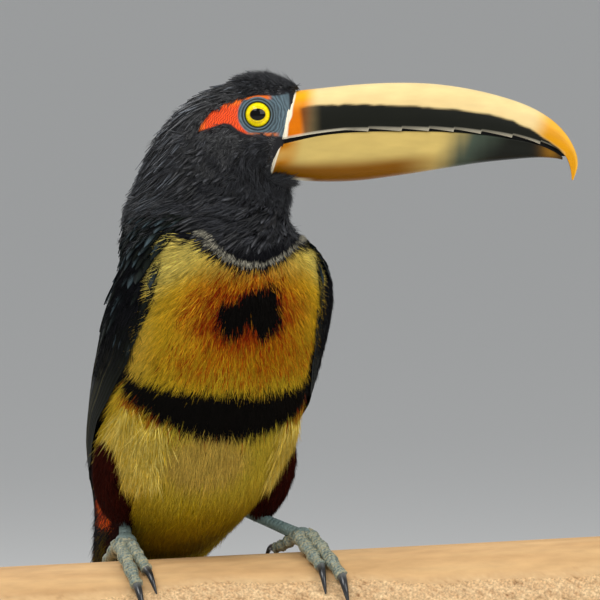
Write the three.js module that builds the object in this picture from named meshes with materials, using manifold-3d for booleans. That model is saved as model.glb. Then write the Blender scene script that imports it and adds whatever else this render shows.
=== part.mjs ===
// A perched aracari (a small toucan) on a short cut length of rail, held by a plain display stand.
// Units are millimetres. Z is up, the breast faces -Y and the bill points to +X.
// The bird is drawn with z = 0 just inside the top of the rail, between its feet; the last lines
// move the whole model so that the middle of its footprint is the origin, on the base's underside.
import * as THREE from "three";
import { mergeVertices } from "three/addons/utils/BufferGeometryUtils.js";
import Module from "manifold-3d";

const wasm = await Module();
wasm.setup();
const V = (x, y, z) => new THREE.Vector3(x, y, z);
const rad = THREE.MathUtils.degToRad;

// ---------------------------------------------------------------- driving dimensions
const GAP = 0.3; // clearance between neighbouring solids
const RAIL_RADIUS = 30;
const RAIL_LENGTH = 250;
const RAIL_MIDDLE_X = 31; // the rail's middle, seen from between the feet
const RAIL_SLOPE = 2.95; // degrees, rising to +X
const RAIL_TOP = 1.5; // height of the rail's top between the feet
const BASE_SIZE = { x: 216, y: 150, z: 12, corner: 14, middleY: 28 };
const ROD_RADIUS = 4;
const ROD_SPACING = 130;
const UNDER_RAIL = 102; // from the base's top to the rail's lowest line

const BODY_HEADING = 20; // degrees that the breast is turned from -Y towards +X
const BODY_LEAN = 0.12; // sideways lean of the trunk, as a slope
const BODY_FOOT_X = -12; // where the leaning middle plane of the trunk meets z = 0
const HEAD_Y = -6; // the head's middle plane
const EYE = { x: 15, z: 171.9, radius: 6.2, outFromMiddle: 9.7 };

const WING_DEPTH = 5; // how deep a folded wing is let into the trunk
const WING_PROUD = 1.2; // how far it stands out of the trunk
const WING_INNER = 3; // half the strip of back that shows between the wings, at z = 0
const WING_SPLAY = 0.12; // how much wider that half strip grows for each unit up the back
const TAIL_LENGTH = 150;
const TAIL_DROP = 66; // degrees below the horizontal
const TARSUS_RADIUS = 2.1;
const FOOT_BALL = { x: 4.1, y: 4.4, z: 3.4 }; // half sizes of the ball that the toes grow from
const TOE_ARCH = 3.2; // how far a toe's root is lifted off the rail
const CLAW_ROOT = 0.72; // claw root radius, as a share of the toe's base radius
const CLAW_SEAT = 0.88; // height of a claw's root over the rail, as a share of the same radius
const CLAW_ARCH = 1.6;
const CLAW_TIP = 0.28; // radius of a claw's blunt tip
const TOOTH_DEPTH = 1.1;

const COLOURS = {
  black: 0x17171b, yellow: 0xc9a227, chestnut: 0x3a130c, slate: 0x1b2420, ivory: 0xe8d7a4,
  tan: 0xc2a568, blueGrey: 0x76858a, claw: 0x2b2b2e, iris: 0xf2dc12, red: 0xc23a1c,
  wood: 0xc79d6d, walnut: 0x4a3020, steel: 0x9a9ca0,
};

// ---------------------------------------------------------------- solids and meshes
const root = new THREE.Group();

function material(colour, roughness = 0.8, metalness = 0) {
  return new THREE.MeshStandardMaterial({ color: colour, roughness, metalness });
}

// A solid from a closed mesh; a mesh whose rings turn the other way round is turned outside out.
function solidOf(geometry) {
  const bare = geometry.clone();
  for (const name of Object.keys(bare.attributes))
    if (name !== "position") bare.deleteAttribute(name);
  const merged = mergeVertices(bare, 1e-4);
  const faces = new Uint32Array(merged.index.array);
  const at = (i) => new THREE.Vector3().fromBufferAttribute(merged.attributes.position, i);
  let volume = 0;
  for (let i = 0; i < faces.length; i += 3)
    volume += at(faces[i]).dot(at(faces[i + 1]).cross(at(faces[i + 2])));
  if (volume < 0)
    for (let i = 0; i < faces.length; i += 3)
      [faces[i + 1], faces[i + 2]] = [faces[i + 2], faces[i + 1]];
  return new wasm.Manifold(
    new wasm.Mesh({
      numProp: 3,
      vertProperties: new Float32Array(merged.attributes.position.array),
      triVerts: faces,
    }),
  );
}

function geometryOf(solid) {
  const mesh = solid.getMesh();
  const places = new Float32Array(mesh.numVert * 3);
  for (let i = 0; i < mesh.numVert; i++)
    places.set(mesh.vertProperties.subarray(i * mesh.numProp, i * mesh.numProp + 3), i * 3);
  const geometry = new THREE.BufferGeometry();
  geometry.setAttribute("position", new THREE.BufferAttribute(places, 3));
  geometry.setIndex(new THREE.BufferAttribute(mesh.triVerts, 1));
  geometry.computeVertexNormals();
  return geometry;
}

// The largest of a solid's separate bodies, so that a cut leaves no crumbs.
function mainBody(solid) {
  return solid.decompose().reduce((a, b) => (b.volume() > a.volume() ? b : a));
}

function addPiece(name, shape, finish) {
  const geometry = shape.isBufferGeometry ? shape : geometryOf(mainBody(shape));
  const mesh = new THREE.Mesh(geometry, finish);
  mesh.name = name;
  root.add(mesh);
  return mesh;
}

// A closed skin over rings of points that all have the same count and turn the same way.
function loft(rings) {
  const count = rings[0].length;
  const places = rings.flat().flatMap((p) => [p.x, p.y, p.z]);
  const faces = [];
  for (let r = 0; r + 1 < rings.length; r++)
    for (let i = 0; i < count; i++) {
      const j = (i + 1) % count;
      const [a, b, c, d] = [r * count + i, r * count + j, (r + 1) * count + j, (r + 1) * count + i];
      faces.push(a, b, c, a, c, d);
    }
  const ends = [
    [rings[0], 0, true],
    [rings.at(-1), (rings.length - 1) * count, false],
  ];
  for (const [ring, first, turned] of ends) {
    const middle = ring.reduce((sum, p) => sum.add(p), V(0, 0, 0)).divideScalar(count);
    const hub = places.length / 3;
    places.push(middle.x, middle.y, middle.z);
    for (let i = 0; i < count; i++) {
      const [a, b] = [first + i, first + ((i + 1) % count)];
      faces.push(...(turned ? [hub, b, a] : [hub, a, b]));
    }
  }
  const geometry = new THREE.BufferGeometry();
  geometry.setAttribute("position", new THREE.Float32BufferAttribute(places, 3));
  geometry.setIndex(faces);
  geometry.computeVertexNormals();
  return geometry;
}

// Rows of numbers under the same keys, read smoothly at a share from 0 to 1 of the way along them.
function smoothRows(rows) {
  const keys = Object.keys(rows[0]);
  const spline = (key, share) => {
    const at = share * (rows.length - 1);
    const i = Math.min(Math.floor(at), rows.length - 2);
    const value = (k) => rows[THREE.MathUtils.clamp(i + k, 0, rows.length - 1)][key];
    const [a, b, c, d] = [-1, 0, 1, 2].map(value);
    const t = at - i;
    const cubic = (3 * b - a - 3 * c + d) * t ** 3;
    return 0.5 * (2 * b + (c - a) * t + (2 * a - 5 * b + 4 * c - d) * t * t + cubic);
  };
  return (share) => Object.fromEntries(keys.map((key) => [key, spline(key, share)]));
}

// ---------------------------------------------------------------- places on the bird and on the rail
const HEADING = rad(BODY_HEADING);
const FORWARD = V(Math.sin(HEADING), -Math.cos(HEADING), 0);
const LEFTWARD = V(Math.cos(HEADING), Math.sin(HEADING), 0); // the bird's own left
const UPWARD = V(BODY_LEAN, 0, 1);

// A point of the trunk, from how far it is forward, to the bird's left, and up.
function onBird(forward, left, up) {
  return V(BODY_FOOT_X, 0, 0)
    .addScaledVector(FORWARD, forward)
    .addScaledVector(LEFTWARD, left)
    .addScaledVector(UPWARD, up);
}

const railTurn = new THREE.Matrix4().makeRotationY(-rad(RAIL_SLOPE));
// A point at this distance off the rail's surface, at an angle from its top towards -Y.
function onRail(x, degreesForward, off) {
  const a = rad(degreesForward);
  const r = RAIL_RADIUS + off;
  return V(x, -r * Math.sin(a), r * Math.cos(a) + RAIL_TOP - RAIL_RADIUS).applyMatrix4(railTurn);
}

// ---------------------------------------------------------------- body: one loft from tail root to face
// Each row is a section: its middle, the way its front faces (degrees from -Y to +X), how far that
// front is pitched down, its half width, and its reach to the front and to the back.
const trunkRow = (forward, up, pitch, half, front, back) => {
  const p = onBird(forward, 0, up);
  return { x: p.x, y: p.y, z: up, heading: BODY_HEADING, pitch, half, front, back };
};
const headRow = (throatX, throatZ, napeX, napeZ, half, heading = 90) => ({
  x: (throatX + napeX) / 2,
  y: HEAD_Y,
  z: (throatZ + napeZ) / 2,
  heading,
  pitch: THREE.MathUtils.radToDeg(Math.atan2(napeZ - throatZ, throatX - napeX)),
  half,
  front: Math.hypot(throatX - napeX, napeZ - throatZ) / 2,
  back: Math.hypot(throatX - napeX, napeZ - throatZ) / 2,
});
const BODY_ROWS = [
  trunkRow(-57, -11, 30, 18, 13, 11), // tail root
  trunkRow(-45, 4, 30, 22, 21, 21), // vent
  trunkRow(-33, 19, 27, 27, 31, 30), // lower belly
  trunkRow(-22, 38, 22, 36, 42, 38), // belly
  trunkRow(-12, 60, 15, 41, 43, 40), // black band
  trunkRow(-5, 80, 8, 43.3, 43, 38), // lower breast
  trunkRow(0, 98, 0, 44, 38, 36), // breast
  { x: 1.5, y: 0, z: 112, heading: 24, pitch: 0, half: 41, front: 33, back: 32 }, // shoulders
  { x: -1.4, y: -1, z: 122, heading: 36, pitch: 1, half: 36.5, front: 33, back: 34 }, // neck root
  { x: -5, y: -3, z: 132, heading: 58, pitch: 3, half: 28.5, front: 33, back: 32 }, // lower neck
  headRow(26.5, 135.5, -32.5, 143, 23.5, 74), // neck
  headRow(24, 139.5, -27.5, 154.5, 20.5, 84),
  headRow(21.8, 142.6, -21.2, 165.5, 18.3), // nape
  headRow(20.2, 144.6, -11.5, 176, 16.8), // ear
  headRow(20, 146, 2, 183.2, 15.3), // crown
  headRow(20.6, 146.9, 16, 187, 13.6), // eye
  headRow(22, 147.4, 27.8, 183.4, 11.6), // face, where the bill starts
];
const bodyRow = smoothRows(BODY_ROWS);

// The bend from trunk to bill, as rings of points; `grow` swells every ring by that much.
function bodyRings(grow, ringCount = 25, pointCount = 20) {
  const rings = [];
  for (let r = 0; r <= ringCount; r++) {
    const s = bodyRow(r / ringCount);
    const [h, p] = [rad(s.heading), rad(s.pitch)];
    const front = V(Math.sin(h) * Math.cos(p), -Math.cos(h) * Math.cos(p), -Math.sin(p));
    const side = V(Math.cos(h), Math.sin(h), 0);
    rings.push(
      Array.from({ length: pointCount }, (_, i) => {
        const a = (2 * Math.PI * i) / pointCount;
        const reach = (Math.cos(a) > 0 ? s.front : s.back) + grow;
        return V(s.x, s.y, s.z)
          .addScaledVector(front, Math.cos(a) * reach)
          .addScaledVector(side, Math.sin(a) * (s.half + grow));
      }),
    );
  }
  return rings;
}
const bodySolid = (grow) => solidOf(loft(bodyRings(grow)));
// The same bend in fewer facets, for the hidden bed that a folded wing lies in.
const bedSolid = (depth) => solidOf(loft(bodyRings(-depth, 16, 14)));

function ellipsoid(middle, radii, turns = 14) {
  const ball = new THREE.SphereGeometry(1, turns, Math.round(turns * 0.6));
  ball.scale(radii.x, radii.y, radii.z).translate(middle.x, middle.y, middle.z);
  return solidOf(ball);
}

// ---------------------------------------------------------------- bill
// Upper bill: ridge and cutting edge in the head's middle plane, and the half width between them.
const UPPER_ROWS = [
  { topX: 26.2, topZ: 180.2, edgeX: 24.4, edgeZ: 162.3, half: 11.4 },
  { topX: 38.8, topZ: 181.6, edgeX: 38.8, edgeZ: 164.8, half: 11.0 },
  { topX: 54.2, topZ: 183.1, edgeX: 54.2, edgeZ: 166.3, half: 10.3 },
  { topX: 69.6, topZ: 183.7, edgeX: 69.6, edgeZ: 166.5, half: 9.6 },
  { topX: 85.0, topZ: 183.0, edgeX: 85.0, edgeZ: 166.4, half: 8.7 },
  { topX: 101.5, topZ: 180.2, edgeX: 99.5, edgeZ: 165.5, half: 7.5 },
  { topX: 116.8, topZ: 175.6, edgeX: 113.0, edgeZ: 163.8, half: 6.0 },
  { topX: 126.8, topZ: 170.2, edgeX: 122.5, edgeZ: 161.6, half: 4.7 },
  { topX: 133.2, topZ: 164.0, edgeX: 129.0, edgeZ: 158.8, half: 3.4 },
  { topX: 136.9, topZ: 157.2, edgeX: 133.0, edgeZ: 155.4, half: 2.3 },
  { topX: 137.6, topZ: 151.8, edgeX: 134.8, edgeZ: 150.9, half: 1.3 },
  { topX: 136, topZ: 146.4, edgeX: 135.4, edgeZ: 146.4, half: 0.35 },
];
const LOWER_ROWS = [
  { topX: 22.8, topZ: 159.6, edgeX: 18.7, edgeZ: 147.6, half: 10.6 },
  { topX: 38.8, topZ: 163.2, edgeX: 36.0, edgeZ: 145.9, half: 10.3 },
  { topX: 54.2, topZ: 164.6, edgeX: 52.0, edgeZ: 146.1, half: 9.6 },
  { topX: 69.6, topZ: 164.8, edgeX: 69.0, edgeZ: 148.2, half: 8.9 },
  { topX: 85.0, topZ: 164.6, edgeX: 85.0, edgeZ: 150.7, half: 8.0 },
  { topX: 99.5, topZ: 163.6, edgeX: 100.0, edgeZ: 153.0, half: 6.8 },
  { topX: 113.0, topZ: 161.8, edgeX: 113.5, edgeZ: 154.4, half: 5.2 },
  { topX: 121.6, topZ: 159.8, edgeX: 122.0, edgeZ: 155.0, half: 3.8 },
  { topX: 127.8, topZ: 157.2, edgeX: 128.2, edgeZ: 154.8, half: 2.4 },
  { topX: 131.8, topZ: 154.8, edgeX: 131.8, edgeZ: 154.2, half: 0.8 },
];
const TOOTH_XS = [48.5, 57.5, 70, 80.5, 90, 100.5, 112.5, 123]; // where each notch steps up

// How far the cutting edge hangs down at this x: it deepens towards each notch, then steps up.
function toothDrop(x) {
  for (let i = 0; i + 1 < TOOTH_XS.length; i++)
    if (x >= TOOTH_XS[i] && x < TOOTH_XS[i + 1])
      return (TOOTH_DEPTH * (x - TOOTH_XS[i])) / (TOOTH_XS[i + 1] - TOOTH_XS[i]);
  return 0;
}

// A half-round section from one cutting edge over the ridge to the other, closed by a flat.
// `down` is true for the lower bill, whose keel hangs below its flat.
function billRing(row, points, down, grow) {
  const ridge = down ? V(row.edgeX, HEAD_Y, row.edgeZ) : V(row.topX, HEAD_Y, row.topZ);
  const edge = down ? V(row.topX, HEAD_Y, row.topZ) : V(row.edgeX, HEAD_Y, row.edgeZ);
  const up = ridge.clone().sub(edge);
  const ring = Array.from({ length: points }, (_, i) => {
    const a = (Math.PI * i) / (points - 1);
    const across = Math.sign(Math.cos(a)) * Math.abs(Math.cos(a)) ** 0.8;
    const lift = Math.sin(a) ** 0.86;
    const p = edge.clone().addScaledVector(up, lift * (1 + grow / up.length()));
    p.y += across * (row.half + grow);
    return p;
  });
  if (grow) for (const i of [0, points - 1]) ring[i].addScaledVector(up.clone().normalize(), -grow);
  return down ? ring : ring.reverse();
}

function billSolid(rows, down, grow = 0) {
  const read = smoothRows(rows);
  const shares = Array.from({ length: 19 }, (_, i) => i / 18);
  if (!down)
    for (const x of TOOTH_XS) {
      let share = 0;
      while (read(share).edgeX < x) share += 0.0005;
      shares.push(share - 0.0025, share + 0.0005);
    }
  shares.sort((a, b) => a - b);
  const kept = shares.filter((s, i) => i === 0 || s - shares[i - 1] > 0.0008);
  const rings = kept.map((share) => {
    const row = read(share);
    if (!down) row.edgeZ -= toothDrop(row.edgeX);
    return billRing(row, 9, down, grow);
  });
  if (grow) {
    const inset = rings[0].map((p) => p.clone().add(V(-grow, 0, 0)));
    rings[0] = inset;
  }
  return solidOf(loft(rings));
}

// ---------------------------------------------------------------- wings
// The folded wing in side view, as (forward, up) points from the wrist round to the tip.
const WING_OUTLINE = [
  [18, 127], [19, 112], [19, 97], [14.5, 81], [3.5, 64], [-12, 46], [-31, 27], [-53, 6], [-73, -10],
  [-90, -6], [-92, 30], [-82, 70], [-66, 100], [-44, 118], [-18, 129], [4, 133],
];

function wingCutter(side, grow) {
  const line = new THREE.SplineCurve(WING_OUTLINE.map(([f, u]) => new THREE.Vector2(f, u)));
  const around = line.getSpacedPoints(24);
  const middle = new THREE.Vector2(-28, 62);
  const shape = new THREE.Shape(
    around.map((p) => p.clone().addScaledVector(p.clone().sub(middle).normalize(), grow)),
  );
  const block = new THREE.ExtrudeGeometry(shape, { depth: 60, bevelEnabled: false, steps: 1 });
  block.translate(0, 0, WING_INNER - grow);
  // The inner edge leans out towards the shoulder, where the mantle shows between the wings.
  block.applyMatrix4(new THREE.Matrix4().makeShear(0, 0, 0, WING_SPLAY, 0, 0));
  // The shape's own x, y and z become forward, up and outward.
  const outward = LEFTWARD.clone().multiplyScalar(side);
  const placed = new THREE.Matrix4().makeBasis(FORWARD, UPWARD, outward).setPosition(BODY_FOOT_X, 0, 0);
  block.applyMatrix4(placed);
  return solidOf(block);
}

// ---------------------------------------------------------------- limbs and tail
// A tube of rings along a smooth path, with a radius at each share of the way.
function tube(path, radiusAt, ringCount, pointCount) {
  const curve = new THREE.CatmullRomCurve3(path);
  const rings = [];
  let side = null;
  for (let r = 0; r <= ringCount; r++) {
    const share = r / ringCount;
    const along = curve.getTangentAt(share);
    if (!side) side = Math.abs(along.z) > 0.9 ? V(1, 0, 0) : V(0, 0, 1).cross(along).normalize();
    side.addScaledVector(along, -side.dot(along)).normalize();
    const up = along.clone().cross(side);
    const middle = curve.getPointAt(share);
    const radius = radiusAt(share);
    rings.push(
      Array.from({ length: pointCount }, (_, i) => {
        const a = (2 * Math.PI * i) / pointCount;
        return middle
          .clone()
          .addScaledVector(side, Math.cos(a) * radius)
          .addScaledVector(up, Math.sin(a) * radius);
      }),
    );
  }
  return loft(rings);
}

// Each feathered thigh as level sections: height, middle, and half widths along x and y.
const THIGHS = {
  right: [
    { z: 54, x: -31, y: 3, halfX: 8.5, halfY: 12 },
    { z: 44, x: -37, y: 0, halfX: 9.5, halfY: 12.5 },
    { z: 34, x: -40, y: -1, halfX: 8.3, halfY: 11 },
    { z: 25, x: -39.6, y: 0.5, halfX: 7.6, halfY: 8.6 },
    { z: 18, x: -38.2, y: 3.8, halfX: 6.2, halfY: 6.4 },
    { z: 14, x: -37, y: 5.8, halfX: 4, halfY: 4 },
  ],
  left: [
    { z: 54, x: 13, y: 16, halfX: 9, halfY: 12 },
    { z: 44, x: 19, y: 14, halfX: 9.6, halfY: 12.5 },
    { z: 34, x: 20, y: 12.5, halfX: 9, halfY: 11 },
    { z: 26, x: 18.8, y: 12.5, halfX: 7.8, halfY: 8.8 },
    { z: 20, x: 16.8, y: 13.5, halfX: 6.4, halfY: 6.6 },
    { z: 16, x: 16.2, y: 14.2, halfX: 4, halfY: 4 },
  ],
};
function thighSolid(rows, grow) {
  const read = smoothRows(rows);
  const rings = [];
  for (let r = 0; r <= 8; r++) {
    const s = read(r / 8);
    const capped = r === 0 ? grow : r === 8 ? -grow : 0;
    rings.push(
      Array.from({ length: 14 }, (_, i) => {
        const a = (2 * Math.PI * i) / 14;
        return V(s.x + Math.cos(a) * (s.halfX + grow), s.y + Math.sin(a) * (s.halfY + grow), s.z + capped);
      }),
    );
  }
  return solidOf(loft(rings));
}

const TARSI = {
  right: [V(-36.6, 7.6, 14.8), V(-36, 1.5, 6.6)],
  left: [V(14.7, 14.6, 15.3), V(32, 1.5, 8.8)],
};

// Each toe: where it leaves the foot and where it ends, as x on the rail and degrees round it from
// its top towards the breast, with its base radius, and where its claw's tip comes to.
const TOES = {
  right: {
    toe_1: { from: [-34, -6], to: [-29.5, -36], claw: [-28.3, -56], radius: 2.2 },
    toe_2: { from: [-33.2, 7], to: [-27.7, 32], claw: [-24.2, 53], radius: 2.3 },
    toe_3: { from: [-37.9, 7], to: [-31.6, 47], claw: [-29.2, 68], radius: 2.5 },
    toe_4: { from: [-38.6, -6], to: [-44.8, -38], claw: [-46.6, -60], radius: 2.4 },
  },
  left: {
    toe_1: { from: [29.8, -4], to: [21.6, -16], claw: [17.8, -28], radius: 2.2 },
    toe_2: { from: [31, 7], to: [39, 38], claw: [40.4, 60], radius: 2.3 },
    toe_3: { from: [35.8, 7], to: [46.8, 48], claw: [48.9, 69], radius: 2.5 },
    toe_4: { from: [35, -6], to: [39.8, -40], claw: [41, -62], radius: 2.4 },
  },
};
// The bare shank and the ball of the foot.
function footSolid(side, grow) {
  const [ankle, joint] = TARSI[side];
  const shaft = solidOf(tube([ankle, joint], (t) => TARSUS_RADIUS * (0.95 + 0.25 * t * t) + grow, 3, 9));
  const { x, y, z } = FOOT_BALL;
  return shaft.add(ellipsoid(joint, V(x + grow, y + grow, z + grow), 10));
}

function toeSolid(toe, grow = 0) {
  const shares = [0, 0.35, 0.7, 1];
  const path = shares.map((s) => {
    const [x, a] = [0, 1].map((k) => THREE.MathUtils.lerp(toe.from[k], toe.to[k], s));
    const arch = TOE_ARCH * (1 - s) ** 2;
    return onRail(x, a, toe.radius * (1 - 0.12 * s) + GAP + arch);
  });
  // Three pads along the toe, with a crease between each.
  const pads = (t) => toe.radius * (1 - 0.16 * t) * (1 + 0.09 * Math.cos(6 * Math.PI * t)) + grow;
  return solidOf(tube(path, pads, 7, 7));
}

function clawSolid(toe, grow = 0) {
  const shares = [0, 0.4, 0.75, 1];
  const path = shares.map((s) => {
    const [x, a] = [0, 1].map((k) => THREE.MathUtils.lerp(toe.to[k], toe.claw[k], s));
    const seat = toe.radius * CLAW_SEAT;
    return onRail(x, a, seat + GAP + CLAW_ARCH * Math.sin(Math.PI * s) - s * (seat - CLAW_TIP));
  });
  const taper = (t) => toe.radius * CLAW_ROOT * (1 - t) ** 0.7 + CLAW_TIP + grow;
  return solidOf(tube(path, taper, 5, 6));
}

function tailSolid() {
  const rows = [
    { t: 0, half: 16.5, thick: 11 },
    { t: 0.14, half: 17.5, thick: 8 },
    { t: 0.34, half: 18.5, thick: 4.2 },
    { t: 0.6, half: 20, thick: 2.6 },
    { t: 0.82, half: 19.5, thick: 1.9 },
    { t: 0.94, half: 15, thick: 1.5 },
    { t: 1, half: 6, thick: 1.1 },
  ];
  const read = smoothRows(rows);
  const drop = rad(TAIL_DROP);
  const rings = [];
  for (let r = 0; r <= 9; r++) {
    const s = read(r / 9);
    const forward = -57.8 - s.t * TAIL_LENGTH * Math.cos(drop);
    const up = -12.6 - s.t * TAIL_LENGTH * Math.sin(drop);
    rings.push(
      Array.from({ length: 12 }, (_, i) => {
        const a = (-2 * Math.PI * i) / 12;
        const left = Math.sin(a) * s.half;
        const off = Math.cos(a) * s.thick - (2.2 * left * left) / (s.half * s.half) + 1;
        return onBird(forward + off * Math.sin(drop), left, up - off * Math.cos(drop));
      }),
    );
  }
  return solidOf(loft(rings));
}

// ---------------------------------------------------------------- build the bird
const feather = (colour) => material(colour, 0.75);
const upperBill = billSolid(UPPER_ROWS, false);
const lowerBill = billSolid(LOWER_ROWS, true);
const thighs = Object.fromEntries(Object.entries(THIGHS).map(([side, t]) => [side, thighSolid(t, 0)]));
const tail = tailSolid();

// The trunk, neck and head in one, with the throat feathers under the bill and the forehead
// feathers that lie over the ridge of its root.
const throat = ellipsoid(V(14, HEAD_Y, 139.5), V(13.8, 12.6, 12));
const forehead = ellipsoid(V(16, HEAD_Y, 181), V(10.5, 7.6, 5.8));
let whole = bodySolid(0).add(throat).add(forehead);
whole = whole.subtract(billSolid(UPPER_ROWS, false, GAP)).subtract(billSolid(LOWER_ROWS, true, GAP));
for (const side of [-1, 1]) {
  const socket = V(EYE.x, HEAD_Y + side * EYE.outFromMiddle, EYE.z);
  const round = EYE.radius + GAP;
  whole = whole.subtract(ellipsoid(socket, V(round, round, round), 13));
}

const wings = {};
for (const [name, side] of [["right", -1], ["left", 1]]) {
  wings[name] = bodySolid(WING_PROUD).subtract(bedSolid(WING_DEPTH)).intersect(wingCutter(side, 0));
  whole = whole.subtract(wingCutter(side, GAP).subtract(bedSolid(WING_DEPTH + GAP)));
}
for (const [side, thigh] of Object.entries(THIGHS)) {
  const room = thighSolid(thigh, GAP);
  whole = whole.subtract(room);
  wings[side] = wings[side].subtract(room);
  whole = whole.subtract(footSolid(side, GAP));
  for (const toe of Object.values(TOES[side]))
    whole = whole.subtract(toeSolid(toe, GAP)).subtract(clawSolid(toe, GAP));
}
whole = whole.subtract(solidOf(railGeometry(3 * GAP)));

// Thin cuts across the body, each by a plane through a point, facing up the neck.
function cutAcross(solid, point, facing) {
  const n = facing.clone().normalize();
  const at = n.dot(point);
  return [
    solid.trimByPlane([n.x, n.y, n.z], at + GAP / 2),
    solid.trimByPlane([-n.x, -n.y, -n.z], -at + GAP / 2),
  ];
}
const [head, belowHead] = cutAcross(whole, V(24, HEAD_Y, 138.5), V(15, 0, 51));
const [neck, belowNeck] = cutAcross(belowHead, V(16.5, -38, 111.7), V(0.2, -0.35, 0.92));
const [trunk, rump] = cutAcross(belowNeck, onBird(-44, 0, 6), V(0, 0, 0.84).addScaledVector(FORWARD, 0.5));

addPiece("head", head, feather(COLOURS.black));
addPiece("neck", neck, feather(COLOURS.black));
addPiece("trunk", trunk, feather(COLOURS.yellow));
addPiece("rump", rump, feather(COLOURS.red));
addPiece("wing_right", wings.right, feather(COLOURS.slate));
addPiece("wing_left", wings.left, feather(COLOURS.slate));
addPiece("tail", tail, feather(COLOURS.slate));
addPiece("bill_upper", upperBill, material(COLOURS.ivory, 0.35));
addPiece("bill_lower", lowerBill, material(COLOURS.tan, 0.35));
for (const [name, side] of [["right", -1], ["left", 1]]) {
  const ball = new THREE.SphereGeometry(EYE.radius, 12, 8);
  const eye = addPiece(`eye_${name}`, ball, material(COLOURS.iris, 0.1));
  eye.position.set(EYE.x, HEAD_Y + side * EYE.outFromMiddle, EYE.z);
}

// ---------------------------------------------------------------- build the legs
const railRoom = solidOf(railGeometry(GAP));
for (const side of ["right", "left"]) {
  const foot = footSolid(side, 0).subtract(thighSolid(THIGHS[side], GAP)).subtract(railRoom);
  const rooms = [footSolid(side, GAP)];
  for (const [name, toe] of Object.entries(TOES[side])) {
    const made = rooms.reduce((left, other) => left.subtract(other), toeSolid(toe)).subtract(railRoom);
    addPiece(`${name}_${side}`, made, material(COLOURS.blueGrey, 0.6));
    rooms.push(toeSolid(toe, GAP));
  }
  for (const [name, toe] of Object.entries(TOES[side])) {
    const made = rooms.reduce((left, other) => left.subtract(other), clawSolid(toe)).subtract(railRoom);
    addPiece(`claw_${name.at(-1)}_${side}`, made, material(COLOURS.claw, 0.35));
  }
  addPiece(`tarsus_${side}`, foot, material(COLOURS.blueGrey, 0.6));
  addPiece(`thigh_${side}`, thighs[side], feather(COLOURS.chestnut));
}

// ---------------------------------------------------------------- rail and display stand
function railGeometry(grow) {
  const bar = new THREE.CylinderGeometry(RAIL_RADIUS + grow, RAIL_RADIUS + grow, RAIL_LENGTH, 36);
  bar.rotateZ(-Math.PI / 2).translate(RAIL_MIDDLE_X, 0, RAIL_TOP - RAIL_RADIUS);
  return bar.applyMatrix4(railTurn);
}
addPiece("perch", railGeometry(0), material(COLOURS.wood, 0.7));

const railFoot = V(RAIL_MIDDLE_X, 0, RAIL_TOP - 2 * RAIL_RADIUS).applyMatrix4(railTurn);
const floorZ = railFoot.z - UNDER_RAIL - BASE_SIZE.z;

function baseGeometry() {
  const { x, y, z, corner } = BASE_SIZE;
  const [hx, hy] = [x / 2, y / 2];
  const shape = new THREE.Shape();
  shape.moveTo(-hx + corner, -hy).lineTo(hx - corner, -hy);
  shape.absarc(hx - corner, -hy + corner, corner, -Math.PI / 2, 0);
  shape.absarc(hx - corner, hy - corner, corner, 0, Math.PI / 2);
  shape.absarc(-hx + corner, hy - corner, corner, Math.PI / 2, Math.PI);
  shape.absarc(-hx + corner, -hy + corner, corner, Math.PI, 1.5 * Math.PI);
  const slab = new THREE.ExtrudeGeometry(shape, { depth: z, bevelEnabled: false, curveSegments: 4 });
  return slab.translate(railFoot.x, BASE_SIZE.middleY, floorZ);
}
addPiece("stand_base", baseGeometry(), material(COLOURS.walnut, 0.45));

for (const [name, side] of [["right", -1], ["left", 1]]) {
  const tall = UNDER_RAIL + RAIL_RADIUS;
  const rod = new THREE.CylinderGeometry(ROD_RADIUS, ROD_RADIUS, tall, 20);
  rod.rotateX(Math.PI / 2);
  rod.translate(railFoot.x + (side * ROD_SPACING) / 2, 0, floorZ + BASE_SIZE.z + GAP + tall / 2);
  const fitted = solidOf(rod).subtract(solidOf(railGeometry(GAP)));
  addPiece(`stand_rod_${name}`, fitted, material(COLOURS.steel, 0.3, 1));
}

// ---------------------------------------------------------------- origin under the middle of the box
const box = new THREE.Box3().setFromObject(root);
const middle = box.getCenter(V(0, 0, 0));
root.position.set(-middle.x, -middle.y, -box.min.z);

export default root;
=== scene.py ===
# %% [markdown]
# # A perched aracari on a cut length of rail
# This notebook dresses a small toucan, life size: skin, feathers, horn bill, scaly feet and a plain
# display stand. The solid parts come first, as a frame that fixes every size and place.

# %% Load the frame of solid parts
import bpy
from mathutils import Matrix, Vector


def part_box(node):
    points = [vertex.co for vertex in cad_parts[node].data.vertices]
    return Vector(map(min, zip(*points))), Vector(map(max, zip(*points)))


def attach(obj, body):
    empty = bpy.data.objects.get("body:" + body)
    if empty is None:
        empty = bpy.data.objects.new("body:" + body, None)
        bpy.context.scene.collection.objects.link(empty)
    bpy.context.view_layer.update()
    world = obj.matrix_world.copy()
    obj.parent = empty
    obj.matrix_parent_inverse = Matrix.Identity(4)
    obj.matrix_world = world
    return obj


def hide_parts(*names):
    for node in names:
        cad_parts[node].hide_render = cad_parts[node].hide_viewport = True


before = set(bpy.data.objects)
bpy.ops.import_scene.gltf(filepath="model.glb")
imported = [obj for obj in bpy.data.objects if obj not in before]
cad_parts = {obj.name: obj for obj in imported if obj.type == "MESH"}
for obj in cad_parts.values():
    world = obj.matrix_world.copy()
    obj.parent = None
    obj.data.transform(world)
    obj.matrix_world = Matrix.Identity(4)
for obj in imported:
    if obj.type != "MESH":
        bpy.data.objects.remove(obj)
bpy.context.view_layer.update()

# %% [markdown]
# ## Places on the bird
# The bird is described in its own millimetres: X towards the bill's tip, Y away from the breast, Z up
# from the top of the rail. The middle of the two eyes is known in both systems, so the shift between
# them is read off the frame. Points are kept in numpy arrays: a coat has hundreds of thousands of
# barbs, and a loop over them would take minutes.

# %% Millimetres of the bird to metres of the frame
import math

import bmesh
import bpy
import numpy as np
from mathutils import Vector
from mathutils.kdtree import KDTree

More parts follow.
